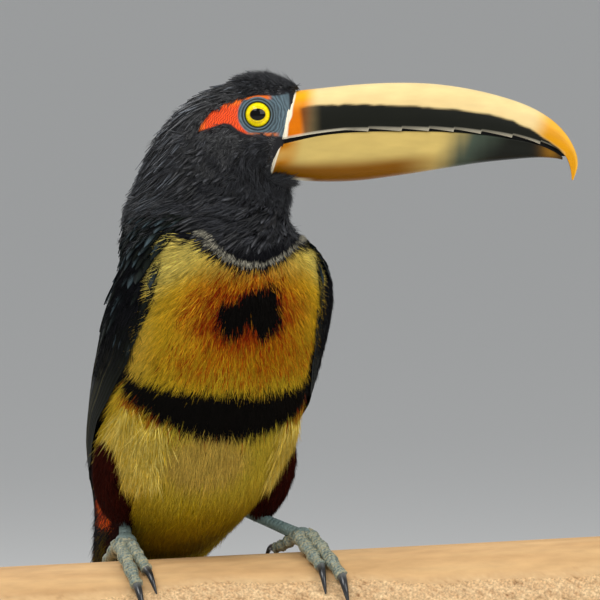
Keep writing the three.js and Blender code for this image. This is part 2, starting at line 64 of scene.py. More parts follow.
MM = 0.001
EYE = np.array([15, -6, 171.9])  # midway between the eyes
EYE_OUT = 9.7  # from the head's middle plane to the eyeball's own middle
EYE_RADIUS = 6.2
HEAD_Y = EYE[1]
SIGN = {"right": -1, "left": 1}  # the bird's right has lower q, and on the head lower Y

corners = [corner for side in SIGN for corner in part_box(f"eye_{side}")]
SHIFT = np.mean([list(corner) for corner in corners], axis=0) / MM - EYE


def placed(points):
    """Points in the bird's millimetres, as metres in the frame."""
    return (np.asarray(points, float) + SHIFT) * MM


print("shift from bird to frame, mm:", SHIFT.round(3))

# %% [markdown]
# ## One surface from face to tail
# The coat's outer surface is a row of sections, from the face back to the root of the tail. They are
# read smoothly, so any spot is named by two numbers: p, the share of the way from face to tail, and
# q, the angle round the body from the middle of the front. Feathers need exactly that: where they
# grow, which way is "towards the tail" there, and which way is out.

# %% Rows of sections
TRUNK_TURN = 20  # degrees towards the bird's left
HEADING = math.radians(TRUNK_TURN)
FORWARD = np.array([math.sin(HEADING), -math.cos(HEADING), 0])
LEFTWARD = np.array([math.cos(HEADING), math.sin(HEADING), 0])
UPWARD = np.array([0.12, 0, 1])  # the trunk leans a little sideways
BASE = np.array([-12, 0, 0])  # the point on the rail's top that the trunk is measured from


def on_bird(forward, left, up):
    """A point of the trunk, from how far it is forward, to the bird's left, and up."""
    terms = (np.asarray(t, float)[..., None] for t in (forward, left, up))
    return BASE + sum(t * way for t, way in zip(terms, (FORWARD, LEFTWARD, UPWARD)))


def head_row(throat_x, throat_z, nape_x, nape_z, half, heading=90):
    """A section from a point of the throat and one of the nape."""
    reach = math.hypot(throat_x - nape_x, nape_z - throat_z) / 2
    pitch = math.degrees(math.atan2(nape_z - throat_z, throat_x - nape_x))
    middle = [(throat_x + nape_x) / 2, HEAD_Y, (throat_z + nape_z) / 2]
    return [*middle, heading, pitch, half, reach, reach]


def trunk_row(forward, up, pitch, half, front, back):
    """A section of the trunk, which all face the same way."""
    return [*on_bird(forward, 0, up), TRUNK_TURN, pitch, half, front, back]


# Each row: middle x, y and z, heading, pitch, half width, reach to the front and to the back
BODY = np.array([
    head_row(22, 147.4, 27.8, 183.4, 11.6),  # face, where the bill starts
    head_row(20.6, 146.9, 16, 187, 13.6),  # eye
    head_row(20, 146, 2, 183.2, 15.3),  # crown
    head_row(20.2, 144.6, -11.5, 176, 16.8),  # ear
    head_row(21.8, 142.6, -21.2, 165.5, 18.3),  # nape
    head_row(24, 139.5, -27.5, 154.5, 20.5, 84),
    head_row(26.5, 135.5, -32.5, 143, 23.5, 74),  # neck
    [-5, -3, 132, 58, 3, 28.5, 33, 32],
    [-1.4, -1, 122, 36, 1, 36.5, 33, 34],
    [1.5, 0, 112, 24, 0, 41, 33, 32],  # shoulders
    trunk_row(0, 98, 0, 44, 38, 36),  # breast
    trunk_row(-5, 80, 8, 43.3, 43, 38),
    trunk_row(-12, 60, 15, 41, 43, 40),  # black band
    trunk_row(-22, 38, 22, 36, 42, 38),  # belly
    trunk_row(-33, 19, 27, 27, 31, 30),
    trunk_row(-45, 4, 30, 22, 21, 21),  # vent
    trunk_row(-57, -11, 30, 18, 13, 11),  # tail root
])
print("body sections:", len(BODY))

# %% Read the sections smoothly
def smooth(rows, share):
    """Rows of numbers read smoothly at shares from 0 to 1; past the ends they run on straight."""
    share = np.asarray(share, float)
    last = len(rows) - 1
    at = np.clip(share, 0, 1) * last
    i = np.minimum(at.astype(int), last - 1)
    t = (at - i)[..., None]
    a, b, c, d = (rows[np.clip(i + k, 0, last)] for k in (-1, 0, 1, 2))
    value = b + 0.5 * t * (c - a + t * (2 * a - 5 * b + 4 * c - d + t * (3 * b - a - 3 * c + d)))
    past = ((share - np.clip(share, 0, 1)) * last)[..., None]
    return value + past * np.where(past > 0, rows[-1] - rows[-2], rows[1] - rows[0])


def body(p, q):
    """The coat's outer surface."""
    row = smooth(BODY, p)
    heading, pitch, half, front, back = np.moveaxis(row[..., 3:], -1, 0)
    h, t = np.radians(heading), np.radians(pitch)
    ahead = np.stack([np.sin(h) * np.cos(t), -np.cos(h) * np.cos(t), -np.sin(t)], -1)
    aside = np.stack([np.cos(h), np.sin(h), 0 * h], -1)
    reach = np.maximum(np.where(np.cos(q) > 0, front, back), 1)
    across = np.maximum(half, 1)
    return row[..., :3] + ahead * (np.cos(q) * reach)[..., None] + aside * (np.sin(q) * across)[..., None]


print("middle of the front at the breast:", body(np.array([0.6]), np.array([0]))[0].round(1))

# %% [markdown]
# ## Directions on a surface
# On any smooth surface, two tiny steps tell the local directions and how many millimetres one unit of
# p or q is worth. Throat and forehead swell out as two ellipsoids: a spot that lies inside one is
# pushed out along its normal until it comes through, which joins the shapes without a seam.

# %% Directions on a surface
SWELLINGS = [
    (np.array([14, HEAD_Y, 139.5]), np.array([13, 12, 11.5])),  # throat
    (np.array([16, HEAD_Y, 181]), np.array([10.5, 7.2, 5.4])),  # forehead
]
TINY = 1e-4  # the small step


def unit(v):
    return v / np.maximum(np.linalg.norm(v, axis=-1, keepdims=True), 1e-9)


def swell(place, out):
    """How far each place is pushed out to clear the swellings of throat and forehead."""
    push = np.zeros(place.shape[:-1])
    for middle, radii in SWELLINGS:
        o, d = (place - middle) / radii, out / radii
        a, b, c = (d * d).sum(-1), (o * d).sum(-1), (o * o).sum(-1) - 1
        root = np.sqrt(np.maximum(b * b - a * c, 0))
        push = np.maximum(push, np.where(c < 0, (root - b) / a, 0))
    return push


def survey(surface, p, q):
    """Place, unit vectors along the lie, across it and outwards, and mm per unit of p and of q."""
    place = surface(p, q)
    along = (surface(p + TINY, q) - place) / TINY
    across = (surface(p, q + TINY) - place) / TINY
    scale_p, scale_q = np.linalg.norm(along, axis=-1), np.linalg.norm(across, axis=-1)
    out = unit(np.cross(along, across))
    return place, unit(along), unit(across), out, scale_p, scale_q


def lay(surface, p, q, height):
    """Points at a height over a surface, swellings included."""
    place, _, _, out, _, _ = survey(surface, p, q)
    lift = height + (swell(place, out) if surface is body else 0)
    return place + out * lift[..., None]


place, _, _, out, scale_p, scale_q = survey(body, np.array([0.6]), np.array([0.0]))
print("at the breast, out points to", out.round(2), "mm per unit:", scale_p.round(), scale_q.round())

# %% [markdown]
# ## From arrays to a mesh
# Blender's mesh data takes whole arrays at once, far faster than adding faces one by one. Every mesh
# carries a colour on each point, which its finish reads, and the feathers also carry a UV map.

# %% Build a mesh from arrays
def linked(name, data):
    """A new object for a mesh, a lamp or a camera, in the scene."""
    piece = bpy.data.objects.new(name, data)
    bpy.context.collection.objects.link(piece)
    return piece


def paint(mesh, colours):
    """Sets one colour on each point, under the name that the finishes read."""
    layer = mesh.attributes.new("colour", "FLOAT_COLOR", "POINT")
    filled = np.ones((len(mesh.vertices), 4), np.float32)
    filled[:, :3] = colours
    layer.data.foreach_set("color", filled.ravel())


def new_mesh(name, points, faces, colours, uv=None, sharp=False):
    """A piece from points in the bird's millimetres and faces that all have the same corner count."""
    mesh = bpy.data.meshes.new(name)
    mesh.vertices.add(len(points))
    mesh.vertices.foreach_set("co", placed(points).astype(np.float32).ravel())
    mesh.loops.add(faces.size)
    mesh.loops.foreach_set("vertex_index", faces.astype(np.int32).ravel())
    mesh.polygons.add(len(faces))
    mesh.polygons.foreach_set("loop_start", np.arange(0, faces.size, faces.shape[1], dtype=np.int32))
    mesh.polygons.foreach_set("use_smooth", np.full(len(faces), not sharp))
    paint(mesh, colours)
    if uv is not None:
        layer = mesh.uv_layers.new(name="OFBake")
        layer.data.foreach_set("uv", uv[faces.ravel()].astype(np.float32).ravel())
    mesh.update(calc_edges=True)
    mesh.validate()
    return linked(name, mesh)


def mixed_mesh(name, points, faces, colours=None, sharp=False):
    """A piece from lists of faces with different corner counts."""
    mesh = bpy.data.meshes.new(name)
    mesh.from_pydata(placed(points).tolist(), [], faces)
    mesh.polygons.foreach_set("use_smooth", np.full(len(faces), not sharp))
    if colours is not None:
        paint(mesh, colours)
    return linked(name, mesh)


print("a mesh takes its points in millimetres, and keeps them in metres:", placed(EYE).round(4))

# %% Give a piece its finish and its place in the model
def triangles(mesh):
    """How many triangles a mesh comes to."""
    return len(mesh.loops) - 2 * len(mesh.polygons)


def dress(piece, finish, slot, *nodes):
    """Gives a piece its finish and its body, and hides the solid parts it stands for; the slot is not used.
    """
    piece.data.materials.clear()
    piece.data.materials.append(finish)
    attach(piece, "root")
    if nodes:
        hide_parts(*nodes)
    print(f"{piece.name}: {triangles(piece.data)} triangles")
    return piece


print("a dressed piece tells its count of triangles, hides its solid parts and rides on the root")

# %% Faces of tubes and lofts
def grid(rows, columns):
    """Two arrays that name every spot of a grid."""
    return np.meshgrid(rows, columns, indexing="ij")


def circle(count):
    """Angles round a full circle, evenly spaced."""
    return np.arange(count) * 2 * np.pi / count


def tube_faces(rings, around):
    """Quads between rings that each have the same count of points."""
    r, i = grid(np.arange(rings - 1), np.arange(around))
    j = (i + 1) % around
    corners = [r * around + i, r * around + j, (r + 1) * around + j, (r + 1) * around + i]
    return np.stack(corners, -1).reshape(-1, 4)


def capped_faces(rings, around):
    """The faces of a tube with its two ends closed, as lists."""
    last = (rings - 1) * around
    caps = [list(range(around))[::-1], list(range(last, last + around))]
    return tube_faces(rings, around).tolist() + caps


print("faces of a closed box, as a tube of two rings:", len(capped_faces(2, 4)))

# %% [markdown]
# ## Finishes
# A finish is a small network of nodes: the point colour, a little mottling on top of it, a fine bump
# so that no surface is dead flat, and the shader. Numbers that are the same all over the surface are
# set on the shader itself, which keeps them when the model goes to another program.

# %% Make a finish
def finish(name, mottle=0.15, mottle_size=1.5, bump=0.1, bump_size=0.4, stretch=(1, 1, 1), **values):
    """A material that reads the point colour; sizes are in millimetres."""
    material = bpy.data.materials.new(name)
    material.use_nodes = True
    nodes, links = material.node_tree.nodes, material.node_tree.links

    def feed(node, **inputs):
        """Links outputs of other nodes to a node's sockets, or sets numbers on them."""
        for socket, value in inputs.items():
            socket = node.inputs[socket.replace("_", " ")]
            if isinstance(value, bpy.types.NodeSocket):
                links.new(value, socket)
            else:
                socket.default_value = value
        return node.outputs[0] if node.outputs else None

    def add(kind, **inputs):
        return feed(nodes.new("ShaderNode" + kind), **inputs)

    place = nodes.new("ShaderNodeTexCoord").outputs["Object"]
    place = add("Mapping", Scale=stretch, Vector=place)
    patches = add("TexNoise", Scale=1 / (mottle_size * MM), Detail=3, Vector=place)
    tone = add("MapRange", From_Min=0.25, From_Max=0.75, To_Min=1 - mottle, To_Max=1 + mottle, Value=patches)
    colour = nodes.new("ShaderNodeAttribute")
    colour.attribute_name = "colour"
    toned = nodes.new("ShaderNodeVectorMath")
    toned.operation = "SCALE"
    toned = feed(toned, Vector=colour.outputs["Color"], Scale=tone)
    grain = add("TexNoise", Scale=1 / (bump_size * MM), Detail=4, Vector=place)
    relief = add("Bump", Strength=bump, Distance=0.2 * MM, Height=grain)
    feed(nodes["Principled BSDF"], Base_Color=toned, Normal=relief, **values)
    return material


FEATHER = finish("feather", Roughness=0.7, Specular_IOR_Level=0.04)
VANE = finish("vane", mottle=0.1, Roughness=0.46, Specular_IOR_Level=0.05)
SKIN = finish("skin", bump=0.25, bump_size=0.5, Roughness=0.6, Specular_IOR_Level=0.2)
print("finishes:", [m.name for m in (FEATHER, VANE, SKIN)])

# %% [markdown]
# ## The skin under the feathers
# One skin covers head, neck, trunk, rump and thighs, so that no joint shows between them. Each part is
# lofted on its own, sunk below the coat by the coat's depth there, and a voxel remesh fuses the
# overlapping lofts into a single surface, much as a sculptor blends lumps of clay.

# %% Thighs
THIGHS = {  # level sections from hip to heel: height, middle x and y, half widths along x and y
    "right": np.array([
        [54, -31, 3, 8.5, 12], [44, -37, 0, 9.5, 12.5], [34, -40, -1, 8.3, 11],
        [25, -39.6, 0.5, 7.6, 8.6], [18, -38.2, 3.8, 6.2, 6.4], [14, -37, 5.8, 4, 4],
    ]),
    "left": np.array([
        [54, 13, 16, 9, 12], [44, 19, 14, 9.6, 12.5], [34, 20, 12.5, 9, 11],
        [26, 18.8, 12.5, 7.8, 8.8], [20, 16.8, 13.5, 6.4, 6.6], [16, 16.2, 14.2, 4, 4],
    ]),
}


def thigh(side):
    """The outer surface of a feathered thigh; q turns so that the normal points out."""
    def surface(p, q):
        z, x, y, half_x, half_y = np.moveaxis(smooth(THIGHS[side], p), -1, 0)
        half_x, half_y = np.maximum(half_x, 0.5), np.maximum(half_y, 0.5)
        return np.stack([x + np.sin(q) * half_x, y - np.cos(q) * half_y, z], -1)
    return surface


print("thigh sections:", {side: len(rows) for side, rows in THIGHS.items()})

# %% Closed lofts and balls
def closed_loft(surface, p, around, depth):
    """Points and faces of a loft at shares p, sunk by a depth at each share, with both ends closed."""
    place, _, _, out, _, _ = survey(surface, *grid(p, circle(around)))
    points = (place - out * depth(p)[:, None, None]).reshape(-1, 3)
    ends = [points[:around].mean(0), points[-around:].mean(0)]
    faces = tube_faces(len(p), around).tolist()
    hub = len(points)
    last = hub - around
    for i in range(around):
        j = (i + 1) % around
        faces += [[hub, j, i], [hub + 1, last + i, last + j]]
    return np.vstack([points, ends]), faces


def ball(middle, radii, turns=40):
    """Points and faces of an ellipsoid, from pole to pole."""
    tilt = np.linspace(0.02, np.pi - 0.02, turns // 2)

    def surface(p, q):
        ring = np.stack([np.sin(p) * np.sin(q), -np.sin(p) * np.cos(q), np.cos(p)], -1)
        return middle + ring * radii

    return closed_loft(surface, tilt, turns, np.zeros_like)


print("points and faces of a small ball:", *map(len, ball(EYE, np.ones(3), 8)))

# %% Join and fuse closed parts
def joined(parts):
    """One mesh from several lists of points and faces."""
    points, faces, start = [], [], 0
    for part_points, part_faces in parts:
        points.append(part_points)
        faces += [[start + i for i in face] for face in part_faces]
        start += len(part_points)
    return np.vstack(points), faces


def fused(name, parts, voxel, rounds):
    """A piece whose overlapping closed parts are remeshed into one, then smoothed."""
    piece = mixed_mesh(name, *joined(parts))
    piece.data.name += "_parts"
    remesh = piece.modifiers.new("fuse", "REMESH")
    remesh.mode, remesh.voxel_size = "VOXEL", voxel * MM
    relax = piece.modifiers.new("relax", "SMOOTH")
    relax.factor, relax.iterations = 0.5, rounds
    evaluated = piece.evaluated_get(bpy.context.evaluated_depsgraph_get())
    piece.data = bpy.data.meshes.new_from_object(evaluated)
    piece.data.name = name
    piece.modifiers.clear()
    piece.data.polygons.foreach_set("use_smooth", np.ones(len(piece.data.polygons), bool))
    return piece


print("points and faces of two balls joined:", *map(len, joined([ball(EYE, np.ones(3), 8)] * 2)))

# %% Make the skin
SKIN_RINGS, SKIN_AROUND = 130, 120
THIGH_RINGS, THIGH_AROUND, THIGH_DEPTH = 40, 48, 1.6


def coat_depth(p):
    """How deep the skin lies under the tips of the coat, in mm, from face to tail."""
    return np.interp(p, [0, 0.08, 0.2, 0.35, 0.5, 0.9, 1], [0, 0.3, 1.2, 2.5, 3.6, 3.6, 2.5])


def thigh_depth(p):
    return np.full_like(p, THIGH_DEPTH)


parts = [closed_loft(body, np.linspace(-0.012, 1.02, SKIN_RINGS), SKIN_AROUND, coat_depth)]
parts += [ball(middle, radii - 1) for middle, radii in SWELLINGS]
for side in THIGHS:
    parts.append(closed_loft(thigh(side), np.linspace(0, 1, THIGH_RINGS), THIGH_AROUND, thigh_depth))
skin = fused("skin", parts, voxel=1.3, rounds=4)
print("skin fused:", len(skin.data.polygons), "faces")

# %% [markdown]
# ## Barbs
# A toucan's body feathers are loose and hair-like: what shows is a mass of separate barbs. Each barb
# is a closed sliver of six triangles, with a point at the root, a small triangle in the middle and a
# point at the tip. It starts under the coat, follows the lie and comes out at the tip, and several
# barbs from one root make a tuft. A particle system would be quicker to set up, but hair particles
# are lost when the model leaves Blender; mesh stays.

# %% Scatter roots
TRIES = 8  # spots tried for each root that is kept


def scatter(surface, p_range, q_range, count, density, seed):
    """Roots spread evenly over the area, thinned by a density from 0 to 1 at each spot."""
    rng = np.random.default_rng(seed)
    p = rng.uniform(*p_range, count * TRIES)
    q = np.radians(rng.uniform(*q_range, count * TRIES))
    place, *_, scale_p, scale_q = survey(surface, p, q)
    weight = scale_p * scale_q * density(p, q, place)
    order = np.argsort(rng.exponential(size=len(p)) / np.maximum(weight, 1e-9))
    chosen = order[: min(count, int((weight > 0).sum()))]
    return p[chosen], q[chosen]


def run(surface, p, q, turn, length, shares):
    """p and q at shares of a path that leaves each root at an angle off the lie."""
    paths_p, paths_q = [p], [q]
    for before, after in zip(shares, shares[1:]):
        p, q = paths_p[-1], paths_q[-1]
        scale_p, scale_q = survey(surface, p, q)[4:]
        paths_p.append(p + np.cos(turn) * length * (after - before) / scale_p)
        paths_q.append(q + np.sin(turn) * length * (after - before) / scale_q)
    return np.stack(paths_p, 1), np.stack(paths_q, 1)


root_p, _ = scatter(body, (0.5, 0.6), (-30, 30), 100, lambda p, q, place: np.ones(len(p)), seed=1)
print("roots kept in a trial:", len(root_p))

# %% Grow tufts of barbs
PATCH = 0.003  # width of one tuft's patch on the UV map
SLIVER = np.array([[0, 3, 1], [0, 2, 3], [0, 1, 2], [4, 1, 3], [4, 3, 2], [4, 2, 1]])  # 0 root, 4 tip
SLIVER_UV = np.array([[0.5, 0], [0, 0.5], [1, 0.5], [0.5, 0.5], [0.5, 1]])


def spread_over(value, which):
    """A number for every tuft, or one number for all, as a number for every barb."""
    value = np.asarray(value, float)
    return value[which] if value.ndim else value


def on_patch(p, q, which, s, t):
    """UV places: each root on the unwrapped surface, plus a small patch around it."""
    across = (q - q.min()) / max(np.ptp(q), 1e-6)
    along = (p - p.min()) / max(np.ptp(p), 1e-6)
    root = (np.stack([across, along], -1) * (1 - PATCH))[which]
    return root + PATCH * np.stack(np.broadcast_arrays(s, t), -1)


def grow(name, surface, roots, length, width, colour, turn=0, per_tuft=6, spread=0.7, fan=0.12,
         depth=3, lift=0.3, stray=0.3, gloom=0.35, tousle=0.1, ruffle=0.1, contrast=0.1, glow=1.15,
         seed=1):
    """Tufts of barbs as one mesh, with sizes in mm and angles in radians.

    Tousle, ruffle and contrast vary whole tufts in heading, height and tone. The darker tone at a
    barb's root is painted shade, and the brighter tone at its tip is painted light.
    """
    rng = np.random.default_rng(seed)
    p, q = roots
    which = np.repeat(np.arange(len(p)), per_tuft)
    count = len(which)
    own_turn, own_rise, own_tone = rng.normal(0, 1, (3, len(p)))[:, which]
    scale_p, scale_q = survey(surface, p, q)[4:]
    sideways, back = rng.normal(0, 1, (2, count))
    start_p = p[which] + back * spread / scale_p[which]
    start_q = q[which] + sideways * spread / scale_q[which]
    heading = spread_over(turn, which) + tousle * own_turn + fan * sideways + rng.normal(0, 0.07, count)
    reach = spread_over(length, which) * rng.uniform(0.7, 1.15, count)
    path_p, path_q = run(surface, start_p, start_q, heading, reach, (0, 0.5, 1))
    sunk = spread_over(depth, which)
    rise = spread_over(lift, which) + np.abs(rng.normal(0, 1, count)) * spread_over(stray, which)
    rise = rise + ruffle * np.abs(own_rise)
    root = lay(surface, path_p[:, 0], path_q[:, 0], -sunk)
    middle = lay(surface, path_p[:, 1], path_q[:, 1], -0.4 * sunk + 0.4 * rise)
    tip = lay(surface, path_p[:, 2], path_q[:, 2], -0.15 * sunk * rng.random(count) + rise)
    out = survey(surface, path_p[:, 1], path_q[:, 1])[3]
    aside = unit(np.cross(tip - root, out))
    half = (spread_over(width, which) * rng.uniform(0.7, 1.2, count) / 2)[:, None]
    corners = [root, middle + aside * half, middle - aside * half, middle + out * half * 0.7, tip]
    points = np.stack(corners, 1).reshape(-1, 3)
    faces = (np.arange(count)[:, None, None] * len(corners) + SLIVER).reshape(-1, 3)
    seen_p, seen_q = (0.3 * path[:, 1] + 0.7 * path[:, 2] for path in (path_p, path_q))
    tint = colour(seen_p, seen_q, surface(seen_p, seen_q), rng)
    tint = tint * (rng.normal(1, 0.12, count) * (1 + contrast * own_tone)).clip(0.45, 1.7)[:, None]
    # tones along each barb: painted shade at the root and the middle, painted light at the tip
    shade = np.array([gloom, 0.85, 0.85, 0.9, glow])  # the tone at each of the five points
    colours = (tint[:, None, :] * shade[:, None]).reshape(-1, 3)
    uv = on_patch(p, q, which[:, None], *SLIVER_UV.T)
    return new_mesh(name, points, faces, colours, uv.reshape(-1, 2))


print("triangles in each barb:", len(SLIVER))

# %% Make one piece of the coat
def coat(name, tufts, length, p_range, q_range=(-180, 180), where=None, seed=1, surface=body,
         finish=FEATHER, slot="feathers_black", turn=0, **options):
    """One piece of the coat; where, length and turn may be rules that read p and q."""
    def density(p, q, place):
        return where(p, q, place) * 1.0 if where else np.ones(len(p))

    roots = scatter(surface, p_range, q_range, tufts, density, seed)
    length, turn = (value(*roots) if callable(value) else value for value in (length, turn))
    piece = grow(name, surface, roots, length, turn=turn, seed=seed + 1, **options)
    return dress(piece, finish, slot)


print("finish of the coat, unless a piece names another:", FEATHER.name)

# %% [markdown]
# ## Where the wings lie
# The folded wings cover the flanks from shoulder to tail, so the body's own coat stops a little
# before their edges. Each edge is a short list of shares along the body and angles round it.

# %% Edges of the folded wings
WING_FRONT = {
    "right": np.array([
        [0.44, 82], [0.465, 80], [0.495, 72], [0.538, 67], [0.557, 64], [0.611, 58], [0.638, 60],
        [0.662, 63], [0.685, 65], [0.704, 70], [0.73, 75], [0.76, 84], [0.788, 87], [0.812, 88],
        [0.842, 97], [0.9, 112], [1, 132],
    ]),
    "left": np.array([
        [0.44, 78], [0.465, 70], [0.516, 57], [0.583, 52], [0.615, 49], [0.657, 47], [0.685, 46],
        [0.71, 52], [0.74, 72], [0.78, 88], [0.82, 97], [0.9, 112], [1, 132],
    ]),
}
WING_BACK = np.array([[0.44, 158], [0.6, 160], [0.8, 168], [1, 176]])


def read(table, x):
    """A value read off rows of (x, value), on straight lines between them."""
    return np.interp(x, *table.T)


def wing_edges(side, p):
    """The angles of a wing's front edge and of its edge along the spine."""
    return read(WING_FRONT[side], p), read(WING_BACK, p)


def wing_share(p, q):
    """How far a spot is across the wing on its side: 0 at the front edge, 1 along the spine."""
    shares = []
    for side in SIGN:
        front, back = wing_edges(side, p)
        shares.append((np.abs(np.degrees(q)) - front) / (back - front))
    return np.where(q < 0, *shares)


print("front edges at the shoulder:", {side: rows[0, 1] for side, rows in WING_FRONT.items()})

# %% [markdown]
# ## Markings
# The colours are painted by rule: a black hood that ends in a scalloped hem, a yellow breast with a
# black spot in a rust-red halo, a black belly band, a pale belly, a red rump. Skin and coat ask the
# same function, so that where the coat is thin the right colour shows through. Every barb asks with
# a small error in its place, and that makes the edges streaky, as feathers do.

# %% Colours of the plumage
def srgb(red, green, blue):
    """A colour as painters name it, from 0 to 255, in the linear light that shaders use."""
    c = np.array([red, green, blue]) / 255
    return np.where(c <= 0.04045, c / 12.92, ((c + 0.055) / 1.055) ** 2.4)


BLACK = srgb(30, 30, 34)
MANTLE = srgb(24, 31, 29)
YELLOW = srgb(214, 176, 40)
PALE_YELLOW = srgb(236, 216, 116)
GOLDEN = srgb(190, 136, 14)
ORANGE = srgb(196, 96, 10)
RUST = srgb(140, 34, 8)
BAND = srgb(16, 14, 12)
BELLY = srgb(212, 188, 62)
CREAM = srgb(206, 172, 84)
OLIVE_YELLOW = srgb(178, 150, 20)
LEMON = srgb(206, 180, 44)
RED = srgb(206, 58, 22)
CHESTNUT = srgb(64, 19, 9)

print("colours ready, black as linear light:", BLACK.round(3))

# %% Outlines of hem, spot and thigh, and soft edges between colours
# Angles from the middle of the front, in degrees, and heights over the rail, in mm.
HEM = np.array([[-80, 126.6], [-50, 122.4], [-34, 118.1], [-22, 114.3], [-8, 111.2], [3, 111.1],
                [21, 116.3], [34, 119.1], [58, 120], [90, 126]])
SPOT_TOP = np.array([[-18, 98], [-8, 101.5], [1, 105], [13, 106.5], [18, 98]])
SPOT_LOW = np.array([[-18, 95], [-15, 88.5], [-8, 83.5], [-2, 91], [7, 84], [18, 90]])
LEG_EDGE = np.array([[14, 49], [23.5, 53], [31, 62], [38, 80], [42, 95]])  # height, then angle
BREAST_LOW = 64  # height where the breast ends and the belly starts


def step(low, high, x):
    """0 below low, 1 above high, and smooth between."""
    t = np.clip((np.asarray(x, float) - low) / (high - low), 0, 1)
    return t * t * (3 - 2 * t)


def mix(a, b, share):
    """Rows of colours between a and b."""
    share = np.asarray(share, float)[..., None]
    return np.asarray(a) * (1 - share) + np.asarray(b) * share


def over(colour, mask, new):
    """Rows of colours, with a new colour wherever the mask is true."""
    return np.where(mask[..., None], new, colour)


def wrap(degrees):
    """Angles brought between -180 and 180 degrees."""
    return (degrees + 180) % 360 - 180


print("the hem lies between", HEM[:, 1].min(), "and", HEM[:, 1].max(), "mm")

# %% The rule for the trunk
def trunk_colour(p, q, place, rng):
    """The colour of each barb of neck, breast, belly, back and rump."""
    count = len(place)
    angle = wrap(np.degrees(q) + rng.normal(0, 1.6, count))
    z = place[:, 2] + rng.normal(0, 1.1, count)
    wide = np.abs(angle)
    pick, pick_too = rng.random(count), rng.random(count)

    def near(middle_angle, middle_z, half_angle, half_z, inner, outer):
        """1 inside an oval patch and 0 outside it."""
        away = np.hypot((angle - middle_angle) / half_angle, (z - middle_z) / half_z)
        return 1 - step(inner, outer, away)

    patch = 0.5 + 0.5 * np.sin(0.11 * angle + 2.2 * np.sin(0.17 * z)) * np.cos(0.16 * z - 0.05 * angle)
    breast = mix(GOLDEN, YELLOW, step(76, 108, z) * 0.4 + 0.5 * step(15, 45, wide) + 0.25 * patch)
    pale = step(0.25, 1, step(98, 118, z) * 0.7 + step(30, 60, wide) * 0.5)
    breast = mix(breast, PALE_YELLOW, 0.85 * pale)
    breast = mix(breast, LEMON, 0.75 * (1 - step(68, 82, z + 9 * patch)))
    flame = near(-1, 99, 50, 20, 0.45, 1.1) * (0.45 + 0.75 * patch)
    breast = mix(breast, ORANGE, np.clip(flame, 0, 1) * (0.25 + 0.6 * pick))
    halo = near(-2, 96, 41, 17, 0.45, 1.05) * (0.6 + 0.5 * patch)
    breast = over(breast, pick_too < halo * 0.8, mix(RUST, ORANGE, pick ** 2 * 0.6))
    streaks = near(0, 78, 55, 14, 0.5, 1) * 0.35
    breast = over(breast, pick_too > 1 - streaks, mix(RUST, ORANGE, pick))
    spot = (z < read(SPOT_TOP, angle)) & (z > read(SPOT_LOW, angle)) & (wide < 17.5)
    breast = over(breast, spot, BAND)

    belly = mix(BELLY, YELLOW, step(25, 60, wide) * 0.6)
    belly = mix(belly, CREAM, near(-12, 37, 30, 13, 0.6, 1.1) * 0.8)
    belly = mix(belly, OLIVE_YELLOW, 1 - step(12, 32, z + rng.normal(0, 3, count)))
    band_low = 46.3 + 20 * (wide / 68) ** 1.9
    fringe = (1 - step(0, 7, band_low - z)) * (0.04 + 0.75 * step(20, 62, wide))
    belly = over(belly, pick < fringe, mix(ORANGE, RUST, pick_too))
    beside_leg = (wide > read(LEG_EDGE, z)) & (z < 42)
    belly = over(belly, beside_leg, mix(CHESTNUT * 0.4, CHESTNUT, pick))

    colour = over(belly, z > BREAST_LOW, breast)
    band_top = BREAST_LOW + 0.5 + 8 * (wide / 68) ** 2
    colour = over(colour, (z > band_low) & (z < band_top) & (wide < 78), BAND)
    colour = over(colour, z > read(HEM, angle), BLACK)
    dorsal = mix(MANTLE, RED, step(0.79, 0.84, p + rng.normal(0, 0.012, count)))
    colour = over(colour, (wide > 102) & (z < 135), dorsal)
    # the rump's red sliver beside the thigh is brightened 2.4 times, past any real feather: painted light
    # where wing and thigh shade it
    flame = mix(ORANGE, RED, pick) * 2.4
    flank = mix(mix(OLIVE_YELLOW, CHESTNUT, pick) * 0.5, flame, step(8, 11, z))
    colour = over(colour, (wide > 72) & (wide <= 102) & (p > 0.84), flank)
    share = wing_share(p, q) + rng.normal(0, 0.01, count)
    return over(colour, (share > 0.03) & (p > 0.44) & (wide < 150), BLACK)


def plain(colour, other=None):
    """A rule that paints every barb one colour, or a random share of the way to another."""
    def rule(p, q, place, rng):
        if other is None:
            return np.tile(colour, (len(place), 1))
        return mix(colour, other, rng.random(len(place)))
    return rule


sample = trunk_colour(*np.array([[0.6], [0]]), body(*np.array([[0.6], [0]])), np.random.default_rng(0))
print("middle of the breast, linear light:", sample.round(2))

# %% [markdown]
# ## The bare face
# Round the eye the skin is naked: blue-grey and finely folded, with a wedge of red behind it. A
# viewer looks there first, so its folds are real geometry. The remeshed skin is too coarse for them,
# so only the faces inside the bare patch are subdivided, and then each point is moved along the
# head's side axis: down into the socket, up over the lid's rim, and in rings round the eye.

# %% Outline of the bare face, seen from the side
BARE_FACE = np.array([  # x and z in mm, from the rear tip of the red wedge over the eye to the bill
    [-7.6, 165.4], [-6.2, 169.4], [-2.3, 173.4], [3, 176.4], [9.6, 178.4], [15, 179.2], [21, 179],
    [27, 179.8], [27.5, 172], [26, 163], [21.5, 163.6], [16, 163.7], [11, 164.3], [7.6, 165.8],
    [4.6, 168.2], [2, 168.6], [-2, 167.2],
])


